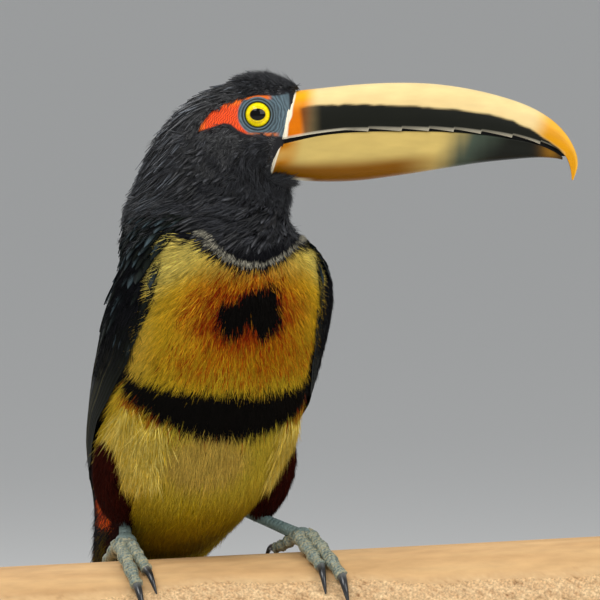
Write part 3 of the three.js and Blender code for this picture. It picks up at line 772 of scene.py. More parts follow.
def outline_distance(x, z, outline):
    """Distance to an outline in mm: negative inside, positive outside."""
    point = np.stack([x, z], -1)[..., None, :]
    start, end = outline, np.roll(outline, -1, axis=0)
    edge = end - start
    share = np.clip(((point - start) * edge).sum(-1) / (edge ** 2).sum(-1), 0, 1)
    distance = np.linalg.norm(point - start - share[..., None] * edge, axis=-1).min(-1)
    crosses = (start[:, 1] > z[..., None]) != (end[:, 1] > z[..., None])
    steep = np.where(edge[:, 1] == 0, 1, edge[:, 1])
    at = start[:, 0] + (z[..., None] - start[:, 1]) / steep * edge[:, 0]
    inside = (crosses & (x[..., None] < at)).sum(-1) % 2 == 1
    return np.where(inside, -distance, distance)


FAR = 99  # stands for any place that is not on a side of the head


def bare(place):
    """Distance to the bare face for places on the sides of the head, and far off elsewhere."""
    inside = outline_distance(place[..., 0], place[..., 2], BARE_FACE)
    beside = np.abs(place[..., 1] - HEAD_Y) > 7
    return np.where(beside & (place[..., 2] > 155), inside, FAR)


print("corners in the outline of the bare face:", len(BARE_FACE))

# %% Read, move and refine the points of a mesh
def points_of(mesh):
    """A mesh's points, back in the bird's millimetres."""
    co = np.empty(len(mesh.vertices) * 3)
    mesh.vertices.foreach_get("co", co)
    return co.reshape(-1, 3) / MM - SHIFT


def move_points(mesh, points):
    mesh.vertices.foreach_set("co", placed(points).astype(np.float32).ravel())
    mesh.update()


def refine(piece, rounds, wanted):
    """Halves the edges whose two ends are both wanted, round after round."""
    for _ in range(rounds):
        chosen = wanted(points_of(piece.data))
        mesh = bmesh.new()
        mesh.from_mesh(piece.data)
        edges = [e for e in mesh.edges if chosen[e.verts[0].index] and chosen[e.verts[1].index]]
        bmesh.ops.subdivide_edges(mesh, edges=edges, cuts=1, use_grid_fill=True, smooth=0.3)
        mesh.to_mesh(piece.data)
        mesh.free()


refine(skin, 3, lambda place: bare(place) < 1.2)
print("skin refined:", len(skin.data.polygons), "faces")

# %% Fold the face round the eye
LID = 4.9  # radius of the opening between the lids
FOLD = 1.15  # spacing of the folds round the eye
CREST = 0.45  # from the opening's edge to the first crest


def eye_rings(place):
    """Distance from the eye's axis, and angle round it from the front, for places on the face."""
    x, z = place[:, 0] - EYE[0], place[:, 2] - EYE[2]
    return np.hypot(x, z), np.arctan2(z, x)


def bell(x, middle, width):
    """1 at the middle, and fading to nothing on both sides."""
    return np.exp(-((x - middle) / width) ** 2)


def fold_wave(r, angle):
    """Crests and troughs of the folds, which wander and break up away from the lids."""
    wander = 0.5 * np.sin(3 * angle + 1.5) + 0.35 * np.sin(7 * angle + r) + 0.25 * np.sin(13 * angle - 2 * r)
    return np.cos((r - LID - CREST) * 2 * np.pi / FOLD + wander * step(LID + 0.6, LID + 3.6, r) * 3.4)


def face_depth(place):
    """How far each point of the face should stand from the head's middle plane."""
    r, angle = eye_rings(place)
    now = np.abs(place[:, 1] - HEAD_Y)
    rim = EYE_OUT + math.sqrt(EYE_RADIUS ** 2 - LID ** 2) + 0.55
    depth = now + (rim - now) * (1 - step(LID + 0.5, 8.2, r))
    ahead = 0.5 + 0.5 * np.cos(angle - 0.25)
    fade = (1 - step(8.6, 12.5, r)) * (0.35 + 0.65 * ahead) * step(LID + 0.3, LID + 0.6, r)
    depth = depth + 0.28 * bell(r, LID + CREST, 0.35) + fade * 0.13 * fold_wave(r, angle)
    socket = EYE_OUT + np.sqrt(np.maximum(EYE_RADIUS ** 2 - r ** 2, 0)) - 0.9
    return np.where(r < LID, socket + (depth - socket) * step(LID - 0.35, LID, r), depth)


def crinkle(place):
    """Upright wrinkles of the red wedge, in mm."""
    r, _ = eye_rings(place)
    wedge = step(7.4, 8.6, r) * (1 - step(9, 11, place[:, 0]))
    bend = 0.5 * np.sin(place[:, 2] * 0.9) + 0.35 * np.sin(place[:, 2] * 2.3 + place[:, 0])
    return wedge * 0.16 * np.sin((place[:, 0] + bend) * 2 * np.pi / 0.95)


place = points_of(skin.data)
off_plane = place[:, 1] - HEAD_Y
share = 1 - step(-0.3, 0.8, bare(place))
folded = place.copy()
folded[:, 1] += np.sign(off_plane) * share * (face_depth(place) + crinkle(place) - np.abs(off_plane))
move_points(skin.data, folded)
print("points moved by the folds:", int((share > 0).sum()))

# %% Colours of the bare face
BLUE_GREY = srgb(76, 92, 99)
FACE_RED = srgb(212, 70, 22)
FACE_ORANGE = srgb(238, 120, 34)


def face_colour(place, rng):
    """Blue-grey folds with dark lids, the red wedge behind, and painted light and shade on folds and
    wrinkles.
    """
    x, z = place[:, 0], place[:, 2]
    r, angle = eye_rings(place)
    face = np.broadcast_to(BLUE_GREY, place.shape) * (0.85 + 0.3 * rng.random(len(place)))[:, None]
    # lighter on the crests of the folds and darker in their troughs: painted light and shade
    face = face * (1 + 0.45 * fold_wave(r, angle) * (1 - step(9.5, 14, r)))[:, None]
    # a dark ring at the lid's edge, and a second in the trough of the first fold, which is painted shade
    dark = bell(r, LID, 0.28) + 0.85 * bell(r, LID + 1.05, 0.26)
    face = mix(face, srgb(14, 16, 18), np.clip(dark, 0, 1))
    red = step(7.3, 8, r) * (1 - step(9.5, 12, x + 0.1 * (z - 170)))
    brow = step(6.6, 7, r) * step(177.2, 178, z) * (1 - step(18, 21, x))
    red = np.maximum(red, brow)
    warm = np.clip(step(174, 177.5, z) + (1 - step(-7.5, -4, x)), 0, 1)
    # lighter on each wrinkle's crest and darker in its groove: painted light and shade
    flame = mix(FACE_RED, FACE_ORANGE, 0.75 * warm) * (1 + 2.6 * crinkle(place))[:, None]
    face = mix(face, flame, red)
    lower = (1 - step(164.5, 165.3, z)) * (1 - step(21, 24, x))
    return mix(face, FACE_ORANGE * 0.7, 0.8 * lower * (1 - red))


print("mean colour of the face:", face_colour(place[share > 0], np.random.default_rng(0)).mean(0).round(3))

# %% Paint the skin by the same rules as the coat
def nearest(spots, places):
    """For each place, the number of the nearest spot."""
    tree = KDTree(len(spots))
    for i, spot in enumerate(spots):
        tree.insert(spot, i)
    tree.balance()
    return np.array([tree.find(place)[1] for place in places])


def skin_colours(place):
    """Colours for every point of the skin: trunk markings and black head darkened as painted shade under the
    coat, and the bare face.
    """
    rng = np.random.default_rng(3)
    grid_p, grid_q = grid(np.linspace(0, 1.02, 260), np.linspace(-np.pi, np.pi, 200))
    at = nearest(body(grid_p, grid_q).reshape(-1, 3), place)
    p, q = grid_p.ravel()[at], grid_q.ravel()[at]
    # the coat's markings and black, darkened to 0.6: painted shade of the skin deep under the coat
    colour = over(trunk_colour(p, q, place, rng), p < 0.42, BLACK) * 0.6
    for rows in THIGHS.values():
        x, y, half_x, half_y = (np.interp(place[:, 2], *rows[::-1, [0, k]].T) for k in (1, 2, 3, 4))
        within = np.hypot((place[:, 0] - x) / half_x, (place[:, 1] - y) / half_y) < 1.05
        # chestnut at half strength on the thighs: painted shade under their coat
        colour = over(colour, within & (place[:, 2] < 50), CHESTNUT * 0.5)
    return mix(colour, face_colour(place, rng), 1 - step(-0.5, 0.3, bare(place)))


paint(skin.data, skin_colours(place))
dress(skin, SKIN, "feathers_black", "head", "neck", "trunk", "rump", "thigh_right", "thigh_left")

# %% [markdown]
# ## Eyes
# Each eye is a ball with a slightly steeper clear front. Its rings are closest together at the front,
# so that the edges of pupil and iris fall cleanly between rings. A clear coat over the shader gives
# the wet look; no separate glass shell is needed.

# %% Make the eyes
IRIS = srgb(250, 222, 14)
PUPIL_HALF = (3, 2.35)  # the pupil is a little wider than tall
EYE_GLOSS = finish("eye", mottle=0.05, bump=0.01, Roughness=0.3, Specular_IOR_Level=0, Coat_Weight=0.4,
                   Coat_Roughness=0.03)


def eye_piece(side, sign):
    """An eyeball whose rings are coloured as pupil, iris and rim."""
    rings, around = 90, 120
    tilt = np.concatenate([np.linspace(0.005, 1, 66), np.linspace(1.03, np.pi - 0.01, rings - 66)])
    grid_t, grid_a = grid(tilt, circle(around))
    r = EYE_RADIUS * np.sin(grid_t)
    bulge = 0.3 * np.clip(1 - (r / 4.2) ** 2, 0, 1) * (grid_t < 1.5)
    ahead = EYE_RADIUS * np.cos(grid_t) + bulge
    x, z = r * np.cos(grid_a), r * np.sin(grid_a)
    points = np.stack([EYE[0] + x, HEAD_Y + sign * (EYE_OUT + ahead), EYE[2] + z], -1).reshape(-1, 3)
    faces = tube_faces(rings, around)[:, ::-sign]
    rng = np.random.default_rng(21)
    fibres = 1 + 0.1 * np.interp(grid_a, np.linspace(0, 2 * np.pi, 90), rng.normal(0, 1, 90))
    colour = IRIS * fibres[..., None]
    colour = mix(colour, srgb(196, 150, 8), 0.5 * bell(r, 3, 0.35))
    colour = mix(colour, srgb(120, 120, 6), 0.7 * step(4.1, 4.6, r))
    # black past the iris, where the ball turns in under the lids: painted shade
    colour = mix(colour, srgb(8, 8, 8), step(4.55, 4.75, r))
    pupil = 1 - step(0.94, 1.06, np.hypot(x / PUPIL_HALF[0], (z - 0.1) / PUPIL_HALF[1]))
    colour = mix(colour, srgb(4, 4, 5), pupil)
    # the hidden back of the ball is painted dark as shade inside the socket
    colour = over(colour, grid_t > 1.4, srgb(30, 26, 20))
    piece = new_mesh(f"eyeball_{side}", points, faces, colour.reshape(-1, 3))
    return dress(piece, EYE_GLOSS, "eye", f"eye_{side}")


for side, sign in SIGN.items():
    eye_piece(side, sign)

# %% [markdown]
# ## The bill
# A toucan's bill is a light shell of horn in two halves. Each half is a loft along its length: the
# rows give the ridge, the cutting edge and the half width, and a rounded section joins them. The
# upper half has forward-pointing teeth along its cutting edge, and both have a raised pale rim at the
# root. A fine mesh carries the painted stripe, because the stripe's edge is crisp on the real bill.

# %% Rows of the bill
UPPER_BILL = np.array([  # ridge x and z, cutting edge x and z, half width
    [26.2, 180.2, 24.4, 162.3, 11.4], [38.8, 181.6, 38.8, 164.8, 11], [54.2, 183.1, 54.2, 166.3, 10.3],
    [69.6, 183.7, 69.6, 166.5, 9.6], [85, 183, 85, 166.4, 8.7], [101.5, 180.2, 99.5, 165.5, 7.5],
    [116.8, 175.6, 113, 163.8, 6], [126.8, 170.2, 122.5, 161.6, 4.7], [133.2, 164, 129, 158.8, 3.4],
    [136.9, 157.2, 133, 155.4, 2.3], [137.6, 151.8, 134.8, 150.9, 1.3], [136, 146.4, 135.4, 146.4, 0.35],
])
LOWER_BILL = np.array([  # cutting edge x and z, keel x and z, half width
    [22.8, 159.6, 18.7, 147.6, 10.6], [38.8, 163.2, 36, 145.9, 10.3], [54.2, 164.6, 52, 146.1, 9.6],
    [69.6, 164.8, 69, 148.2, 8.9], [85, 164.6, 85, 150.7, 8], [99.5, 163.6, 100, 153, 6.8],
    [113, 161.8, 113.5, 154.4, 5.2], [121.6, 159.8, 122, 155, 3.8], [127.8, 157.2, 128.2, 154.8, 2.4],
    [131.8, 154.8, 131.8, 154.2, 0.8],
])
TEETH = np.array([48.5, 57.5, 70, 80.5, 90, 100.5, 112.5, 123])  # x where each notch steps up
TOOTH_DEPTH = 1.1
CLOSER = 0.5  # how far the lower half's soft edge rises towards the upper one
BILL_RINGS, BILL_AROUND = 420, 96
FLAT = 20  # points of each ring that lie across the flat between the two cutting edges
print("bill length, mm:", round(UPPER_BILL[:, 0].max() - UPPER_BILL[0, 0], 1))

# %% Loft the bill
def tooth_drop(x):
    """How far the cutting edge hangs down at x: deeper towards each notch, then a step up."""
    i = np.clip(np.searchsorted(TEETH, x, side="right") - 1, 0, len(TEETH) - 2)
    share = (x - TEETH[i]) / (TEETH[i + 1] - TEETH[i])
    return np.where((x >= TEETH[0]) & (x < TEETH[-1]), TOOTH_DEPTH * np.clip(share, 0, 1), 0)


def bill_section():
    """How far across and how high each point of a ring lies, as shares of the half width and depth."""
    turn = np.linspace(0, np.pi, BILL_AROUND - FLAT)
    across = np.sign(np.cos(turn)) * np.abs(np.cos(turn)) ** 0.8
    flat = np.linspace(-1, 1, FLAT + 2)[1:-1]
    return np.concatenate([across, flat]), np.concatenate([np.sin(turn) ** 0.86, np.zeros(FLAT)])


def bill_half(rows, upper):
    """Points, faces and ends, and for each point its distance from the root and its rise."""
    share = np.linspace(0, 1, BILL_RINGS) ** 1.15
    top_x, top_z, low_x, low_z, half = np.moveaxis(smooth(rows, share), -1, 0)
    if upper:
        ridge, edge = np.stack([top_x, top_z], -1), np.stack([low_x, low_z], -1)
    else:
        ridge, edge = np.stack([low_x, low_z], -1), np.stack([top_x, top_z + CLOSER], -1)
    across, lift = bill_section()
    along = np.hypot(np.gradient(edge[:, 0]), np.gradient(edge[:, 1])).cumsum() - 0.3
    rim = 0.35 * np.exp(-((along - 0.9) / 0.7) ** 4) - 0.15 * bell(along, 2.4, 0.7)
    lip = 0.35 * bell(lift, 0, 0.05) * (np.abs(across) > 0.97)
    lip = lip * (step(2, 5, along) * step(0, 30, half.max() * 4 - along))[:, None]
    y = HEAD_Y + across * ((half + rim)[:, None] + lip)
    rise = ridge - edge
    raised = 1 + rim / np.maximum(np.linalg.norm(rise, axis=1), 1)
    xz = edge[:, None] + (rise * raised[:, None])[:, None] * lift[None, :, None]
    hollow = np.where(np.arange(BILL_AROUND) >= BILL_AROUND - FLAT, 0.8 * (1 - np.abs(across) ** 8), 0)
    xz[..., 1] += (1 if upper else -1) * hollow * np.minimum(half, 1)[:, None]
    faces = tube_faces(BILL_RINGS, BILL_AROUND)
    if upper:
        xz[..., 1] -= tooth_drop(low_x)[:, None] * np.exp(-(lift / 0.07) ** 1.5) * np.abs(across) ** 4
        faces = faces[:, ::-1]
    points = np.stack([xz[..., 0], y, xz[..., 1]], -1).reshape(-1, 3)
    last = (BILL_RINGS - 1) * BILL_AROUND
    ends = [range(BILL_AROUND), range(last, last + BILL_AROUND)]
    return points, faces, ends, np.repeat(along, BILL_AROUND), np.tile(lift, BILL_RINGS)


print("points in each half of the bill:", BILL_RINGS * BILL_AROUND)

# %% [markdown]
# ## Colours of the bill
# The upper half is ivory with a black stripe low on its side, orange at the root and golden at the
# tip. The lower half is tan with a brown keel and turns slate and then black towards its tip. Each
# edge between two colours is a smooth step over a place on the horn, so it can be crisp or soft.

# %% Colours of the upper half
IVORY = srgb(232, 208, 146)
IVORY_SIDE = srgb(218, 190, 132)
ROOT_ORANGE = srgb(200, 104, 0)
STRIPE = srgb(20, 21, 15)
HORN_WHITE = srgb(228, 218, 192)
TIP_GOLD = srgb(206, 140, 8)
STRIPE_TOP = np.array([[27, 174.6], [32, 174.6], [37, 175.4], [56, 175.8], [75, 175.2], [91, 173.8],
                       [104, 171.8], [113, 169.2], [119, 166.6], [124, 163.2], [129, 160], [133, 157],
                       [135, 140]])
# dark brown inside the closed mouth: painted shade
MOUTH_SHADE = srgb(40, 26, 18)


def upper_colour(x, z, along, rise, rng):
    """Ivory with a black stripe, an orange root and a golden tip."""
    smear = np.interp(x, np.linspace(25, 138, 50), rng.normal(0, 0.15, 50))
    cloud = 0.5 + 0.5 * np.sin(0.16 * x + 5 * rise) * np.sin(0.37 * x - 9 * rise + 1)
    # paler towards the ridge: partly the horn's own tone, partly a painted highlight from light above
    colour = mix(IVORY_SIDE, IVORY, step(0.6, 0.97, rise) * 0.7 + 0.3 * cloud)
    root = 1 - step(7.5, 15, along + 1.5 * (1 - rise))
    colour = mix(colour, mix(ROOT_ORANGE, srgb(238, 166, 20), step(0.5, 0.95, rise)), root)
    stripe = step(-0.5, 0.6, read(STRIPE_TOP, x) + smear - z) * step(30.5, 33, x + 0.12 * (z - 170))
    stripe = stripe * (1 - step(130, 134, x))
    colour = mix(colour, STRIPE, stripe * (1 - 0.25 * (1 - step(32, 40, x))))
    tip = step(118, 127, x + 0.35 * (165 - z)) * (1 - stripe)
    colour = mix(colour, mix(TIP_GOLD, srgb(236, 176, 60), step(0.6, 0.95, rise)), tip)
    pale = 0.35 + 0.65 * (1 - step(46, 52, x)) + 0.6 * tooth_drop(x) / TOOTH_DEPTH
    pale = np.clip((1 - step(0.015, 0.04, rise)) * pale, 0, 1)
    colour = mix(colour, HORN_WHITE, pale * (1 - step(126, 130, x)))
    # the inner face between the cutting edges is painted shade
    colour = over(colour, rise <= 0, MOUTH_SHADE)
    rim = along - 1.2 * step(0.3, 0.5, rise) - step(0.6, 0.95, rise)
    return mix(colour, HORN_WHITE, 1 - step(1.5, 2.1, rim))


print("stripe's top edge, rows:", len(STRIPE_TOP))

# %% Colours of the lower half
TAN = srgb(190, 164, 94)
OCHRE = srgb(172, 106, 0)
BROWN = srgb(120, 74, 0)
SLATE = srgb(62, 72, 60)


def lower_colour(x, z, along, rise, rng):
    """Tan with a brown keel, turning slate and then black."""
    smear = np.interp(x, np.linspace(20, 132, 60), rng.normal(0, 0.5, 60))
    colour = mix(OCHRE, TAN, step(3, 11, along))
    cloud = np.clip(np.sin(0.21 * x) * np.sin(7 * rise + 0.1 * x), 0, 1)
    colour = mix(colour, TAN * 1.15, 0.5 * cloud)
    colour = mix(colour, BROWN, step(0.46, 0.76, rise) * (1 - step(66, 92, x)))
    colour = mix(colour, SLATE, step(82, 96, x + 6 * (rise - 0.5) + smear))
    colour = mix(colour, STRIPE, step(92, 110, x + 8 * (rise - 0.5) + smear))
    colour = mix(colour, TIP_GOLD * 0.6, 0.5 * bell(x, 127, 3.5))
    # the inner face between the cutting edges is painted shade
    colour = over(colour, rise <= 0, MOUTH_SHADE)
    colour = mix(colour, HORN_WHITE, 0.9 * step(0.9, 0.96, rise) * (1 - step(10, 18, along)))
    return mix(colour, HORN_WHITE, 1 - step(0.8, 1.3, along))


print("brown of the keel, linear light:", BROWN.round(3))

# %% Build both halves of the bill
HORN = finish("horn", mottle=0.07, mottle_size=3, bump=0.06, bump_size=0.7, stretch=(0.25, 1, 1),
              Roughness=0.36, Specular_IOR_Level=0.1, Coat_Weight=0.04, Coat_Roughness=0.15)
for half_name, rows, rule in (("upper", UPPER_BILL, upper_colour), ("lower", LOWER_BILL, lower_colour)):
    points, faces, ends, along, rise = bill_half(rows, half_name == "upper")
    colours = rule(points[:, 0], points[:, 2], along, rise, np.random.default_rng(31))
    piece = new_mesh(f"horn_{half_name}", points, faces, colours)
    cap = bmesh.new()
    cap.from_mesh(piece.data)
    cap.verts.ensure_lookup_table()
    for loop in ends:
        cap.faces.new([cap.verts[i] for i in loop])
    bmesh.ops.recalc_face_normals(cap, faces=cap.faces)
    cap.to_mesh(piece.data)
    cap.free()
    dress(piece, HORN, f"bill_horn_{half_name}", f"bill_{half_name}")

# %% Close the mouth line with a dark core of painted shade
def mouth_lining():
    """A thin dark core between the two halves, set in from their cutting edges: painted shade in the gap."""
    share = np.linspace(0.002, 0.93, 90)
    _, _, x, up_z, up_half = smooth(UPPER_BILL, share).T
    low_x, low_z, _, _, low_half = smooth(LOWER_BILL, share).T
    low_z = np.interp(x, low_x, low_z)
    half = np.maximum(np.minimum(up_half, np.interp(x, low_x, low_half)) - 0.9, 0.2)
    corners = [(-1, up_z + 0.6), (1, up_z + 0.6), (1, low_z - 0.6), (-1, low_z - 0.6)]
    rings = [np.stack([x, HEAD_Y + side * half, z], -1) for side, z in corners]
    points = np.stack(rings, 1).reshape(-1, 3)
    colours = np.full((len(points), 3), 0.006)
    piece = new_mesh("mouth_lining", points, np.array(capped_faces(len(share), 4)), colours, sharp=True)
    dress(piece, HORN, "bill_horn_lower")


mouth_lining()

# %% [markdown]
# ## Vanes
# Where feathers have a clear outline, as on wings, tail and shoulders, each is a vane: a closed thin
# leaf with a raised shaft down its middle. It follows a path over the surface, narrow at the root,
# widest beyond the middle and rounded or pointed at the tip. The leaves overlap like roof tiles, with
# each tip lifted over the root of the next row.

# %% Build vanes on a surface
LEAF = np.array([  # across, height
    [-1, 0], [-0.88, 0.06], [-0.4, 0.18], [0, 0.42], [0.4, 0.18], [0.88, 0.06], [1, 0], [0, -0.25],
])
SMALL_LEAF = np.array([[-1, 0], [0, 0.4], [1, 0], [0, -0.25]])


def vanes(name, surface, path_p, path_q, half, height, tilt, colour, section=LEAF, thick=0.5,
          blunt=3, seed=1, uv_at=None):
    """Vanes along paths of shape (count, steps); half widths and heights in mm over the surface."""
    rng = np.random.default_rng(seed)
    count, steps = path_p.shape
    t = np.linspace(0, 1, steps)
    scale_p, scale_q = survey(surface, path_p, path_q)[4:]
    step_p, step_q = np.gradient(path_p, axis=1) * scale_p, np.gradient(path_q, axis=1) * scale_q
    size = np.maximum(np.hypot(step_p, step_q), 1e-9)
    way_p, way_q = step_p / size, step_q / size
    outline = np.clip(t / 0.12, 0, 1) ** 0.6 * np.clip(1 - t ** blunt, 0, 1) ** 0.6
    width = np.asarray(half, float).reshape(-1, 1) * np.maximum(outline, 0.03)
    c, z = section.T
    place_p = path_p[..., None] - way_q[..., None] * c * (width / scale_p)[..., None]
    place_q = path_q[..., None] + way_p[..., None] * c * (width / scale_q)[..., None]
    slope = np.asarray(tilt, float).reshape(-1, 1, 1) * c
    up = height[..., None] - slope + z * thick * (1 - 0.6 * t)[:, None]
    points = lay(surface, place_p, place_q, up)
    around = len(section)
    faces = tube_faces(steps, around)
    caps = [list(range(around)), [(steps - 1) * around + i for i in reversed(range(around))]]
    fans = [[loop[0], loop[k], loop[k + 1]] for loop in caps for k in range(1, around - 1)]
    leaf = np.concatenate([faces[:, [0, 1, 2]], faces[:, [0, 2, 3]], np.array(fans)])
    faces = (np.arange(count)[:, None, None] * steps * around + leaf).reshape(-1, 3)
    share_along = np.broadcast_to(t[None, :, None], points.shape[:3])
    share_across = np.broadcast_to(c[None, None, :], points.shape[:3])
    which = np.arange(count)[:, None, None]
    tints = colour(which, share_along, share_across, rng)
    if uv_at is None:
        uv = on_patch(path_p[:, 0], path_q[:, 0], which, 0.5 + 0.5 * share_across, share_along)
    else:
        uv = uv_at(which, share_along, share_across)
    return new_mesh(name, points.reshape(-1, 3), faces, tints.reshape(-1, 3), uv.reshape(-1, 2))


print("points round a large vane:", len(LEAF), "and round a small one:", len(SMALL_LEAF))

# %% Strips of the map for the large vanes
def strips(count):
    """UV places that give every large vane a strip of the map of its own, in two rows."""
    def rule(which, along, across):
        columns = math.ceil(count / 2)
        column, row = which % columns, which // columns
        u = (column + 0.5 + 0.46 * across) / columns
        return np.stack([u + 0 * along, (row + 0.02 + 0.96 * along) / 2], -1)
    return rule


print("strips for ten vanes:", strips(10)(np.arange(10), 0, 0).round(2).tolist()[:2])

# %% [markdown]
# ## Wings
# A folded wing is a stack of vanes. The long primaries lie lowest and run to the tip, the secondaries
# cover their bases, three broad tertials close the stack along the back, and rows of shorter coverts
# tile the shoulder. A place on a wing is given by p and by the share w from its front edge to its
# edge along the spine, which lets one table serve both wings.

# %% Tints of the vanes
WING_BLACK = srgb(12, 15, 11)
FLIGHT_BROWN = srgb(30, 30, 20)
# blue-grey at the tips of coverts and mantle feathers: painted sheen
COVERT_SHEEN = srgb(60, 74, 80)
EDGE_BUFF = srgb(122, 116, 82)


def tinted(base, tip=None, edge=None, edge_share=0.0, variety=0.12):
    """A rule for vanes: a base colour, another towards the tip, a pale outer edge, and a root darkened as
    painted shade.
    """
    def rule(which, along, across, rng):
        count = which.shape[0]
        own = rng.normal(1, variety, count).clip(0.6, 1.5)[which][..., None]
        colour = np.broadcast_to(base, (*np.broadcast_shapes(which.shape, along.shape), 3))
        if tip is not None:
            wants = rng.random(count)[which] ** 2
            colour = mix(colour, tip, step(0.45, 0.95, along) * wants)
        if edge is not None:
            has = np.where(rng.random(count) < 0.45, 1, 0.1)[which] * edge_share
            colour = mix(colour, edge, has * step(0.9, 1, np.abs(across)) * step(0.1, 0.4, along))
        shaft = 1 + 0.5 * (np.abs(across) < 0.1)
        # the root end is darkened as painted shade where the row above covers it
        return colour * own * shaft[..., None] * (0.55 + 0.45 * step(0, 0.35, along))[..., None]
    return rule


def wing_paths(side, root_p, root_w, tip_p, tip_w, steps):
    """Paths over a wing from (p, w) at each root to (p, w) at each tip."""
    t = np.linspace(0, 1, steps)
    p = root_p[:, None] + (tip_p - root_p)[:, None] * t
    w = root_w[:, None] + (tip_w - root_w)[:, None] * t
    front, back = wing_edges(side, p)
    return p, SIGN[side] * np.radians(front + w * (back - front))


def heights(count, steps, low, high):
    return np.broadcast_to(np.linspace(low, high, steps), (count, steps))


def wing_piece(name, side, batches, slant, tint, **options):
    """One piece of a wing, from batches of paths, half widths and heights."""
    path_p, path_q, half, height = (np.concatenate(kind) for kind in zip(*batches))
    tilt = np.full(len(half), slant * SIGN[side])
    return vanes(f"{name}_{side}", body, path_p, path_q, half, height, tilt, tint, **options)


print("black of the wing, linear light:", WING_BLACK.round(4))

# %% Long feathers of each wing
FLIGHT = {  # count, root p, root w, tip p, tip w, half width, height of root and tip, in order of laying
    "primaries": (10, (0.60, 0.62), (0.035, 0.28), (0.83, 1.03), (0.03, 0.34), (3.4, 5.2), (-0.4, 1.2)),
    "secondaries": (8, (0.60, 0.60), (0.26, 0.72), (0.95, 0.82), (0.36, 0.80), (5.5, 6.5), (-0.9, 0.7)),
    "tertials": (3, (0.56, 0.56), (0.74, 0.96), (0.79, 0.73), (0.82, 0.99), (8, 8), (-1.2, 0.5)),
}
FLIGHT_COUNT = sum(row[0] for row in FLIGHT.values())
STEPS = 28
for side in SIGN:
    batches = []
    for count, *ends, half, height in FLIGHT.values():
        ends = [np.linspace(*pair, count) for pair in ends]
        paths = wing_paths(side, *ends, STEPS)
        batches.append((*paths, np.linspace(*half, count), heights(count, STEPS, *height)))
    tint = tinted(WING_BLACK, FLIGHT_BROWN, EDGE_BUFF, 0.9)
    piece = wing_piece("flight_feathers", side, batches, 0.55, tint, thick=0.6, blunt=7, seed=41,
                       uv_at=strips(FLIGHT_COUNT))
    dress(piece, VANE, "feathers_green", f"wing_{side}")

# %% Coverts of each wing, row by row
COVERT_ROWS = [  # root p, tip p, how many across, half width in mm, height of root and tip
    (0.565, 0.675, 13, 4.6, -1.3, 0.35),
    (0.535, 0.625, 14, 4.4, -1.1, 0.6),
    (0.515, 0.590, 15, 4.0, -0.9, 0.8),
    (0.495, 0.560, 16, 3.6, -0.7, 0.9),
    (0.478, 0.538, 17, 3.3, -0.6, 1.0),
    (0.462, 0.517, 18, 3.0, -0.5, 1.0),
    (0.447, 0.498, 18, 2.8, -0.4, 1.0),
    (0.432, 0.480, 18, 2.6, -0.4, 0.9),
    (0.418, 0.462, 18, 2.4, -0.3, 0.8),
]
SHORT_STEPS = 9


def uneven(rng, count, low, high):
    """Heights along short vanes, whose tips are lifted each a little differently."""
    lifted = np.linspace(0, 1, SHORT_STEPS) * rng.normal(0, 0.25, (count, 1))
    return heights(count, SHORT_STEPS, low, high) + lifted


for side in SIGN:
    rng = np.random.default_rng(43)
    batches = []
    for row, (root_p, tip_p, count, half, low, high) in enumerate(COVERT_ROWS):
        w = (np.arange(count) + 0.5 * (row % 2) + rng.normal(0, 0.18, count)) / (count - 0.5)
        roots = root_p + rng.normal(0, 0.004, count)
        tips = tip_p + rng.normal(0, 0.007, count)
        tip_w = w * 0.97 + rng.normal(0, 0.012, count)
        paths = wing_paths(side, roots, w, tips, tip_w, SHORT_STEPS)
        batches.append((*paths, half * rng.uniform(0.75, 1.1, count), uneven(rng, count, low, high)))
    piece = wing_piece("coverts", side, batches, 0.2, tinted(WING_BLACK, COVERT_SHEEN, variety=0.2),
                       section=SMALL_LEAF, blunt=2.4, seed=44)
    dress(piece, VANE, "feathers_green")

# %% Mantle, between the wings
rng = np.random.default_rng(45)
rows, across = grid(np.linspace(0.4, 0.8, 17), np.linspace(-1, 1, 9))
root_p = (rows + rng.normal(0, 0.004, rows.shape)).ravel()
across = (across + 0.12 * (np.arange(17)[:, None] % 2) + rng.normal(0, 0.03, across.shape)).ravel()
root_q = np.pi + across * (np.radians(180 - read(WING_BACK, root_p)) + 0.1)
count = len(root_p)
path_p, path_q = run(body, root_p, root_q, 0, 15, np.linspace(0, 1, SHORT_STEPS))
lifted = uneven(rng, count, -1.4, 0.9)
piece = vanes("mantle", body, path_p, path_q, rng.uniform(3.4, 4.6, count), lifted, np.zeros(count),
              tinted(MANTLE, COVERT_SHEEN * 0.6, variety=0.15), section=SMALL_LEAF, blunt=2.6, seed=46)
dress(piece, VANE, "feathers_green")

# %% [markdown]
# ## Tail
# The closed tail is ten long vanes in five pairs. The middle pair is the longest and lies on top;
# each next pair is shorter and lies below and a little outside, which gives the stepped tip.

# %% Lay the tail feathers
TAIL_LENGTH = 150
TAIL_DROP = math.radians(66)
PAIRS = 5
TIPS = (0.995, 0.93, 0.84, 0.74, 0.62)  # how far each pair reaches, as shares of the tail's length


def tail_plane(p, q):
    """The tail's middle surface: p from root to tip, q across in tens of millimetres."""
    left = q * 10
    sag = -2.2 * (left / 19) ** 2 + 1
    forward = -57.8 - p * TAIL_LENGTH * math.cos(TAIL_DROP) + sag * math.sin(TAIL_DROP)
    up = -12.6 - p * TAIL_LENGTH * math.sin(TAIL_DROP) - sag * math.cos(TAIL_DROP)
    return on_bird(forward, left, up)


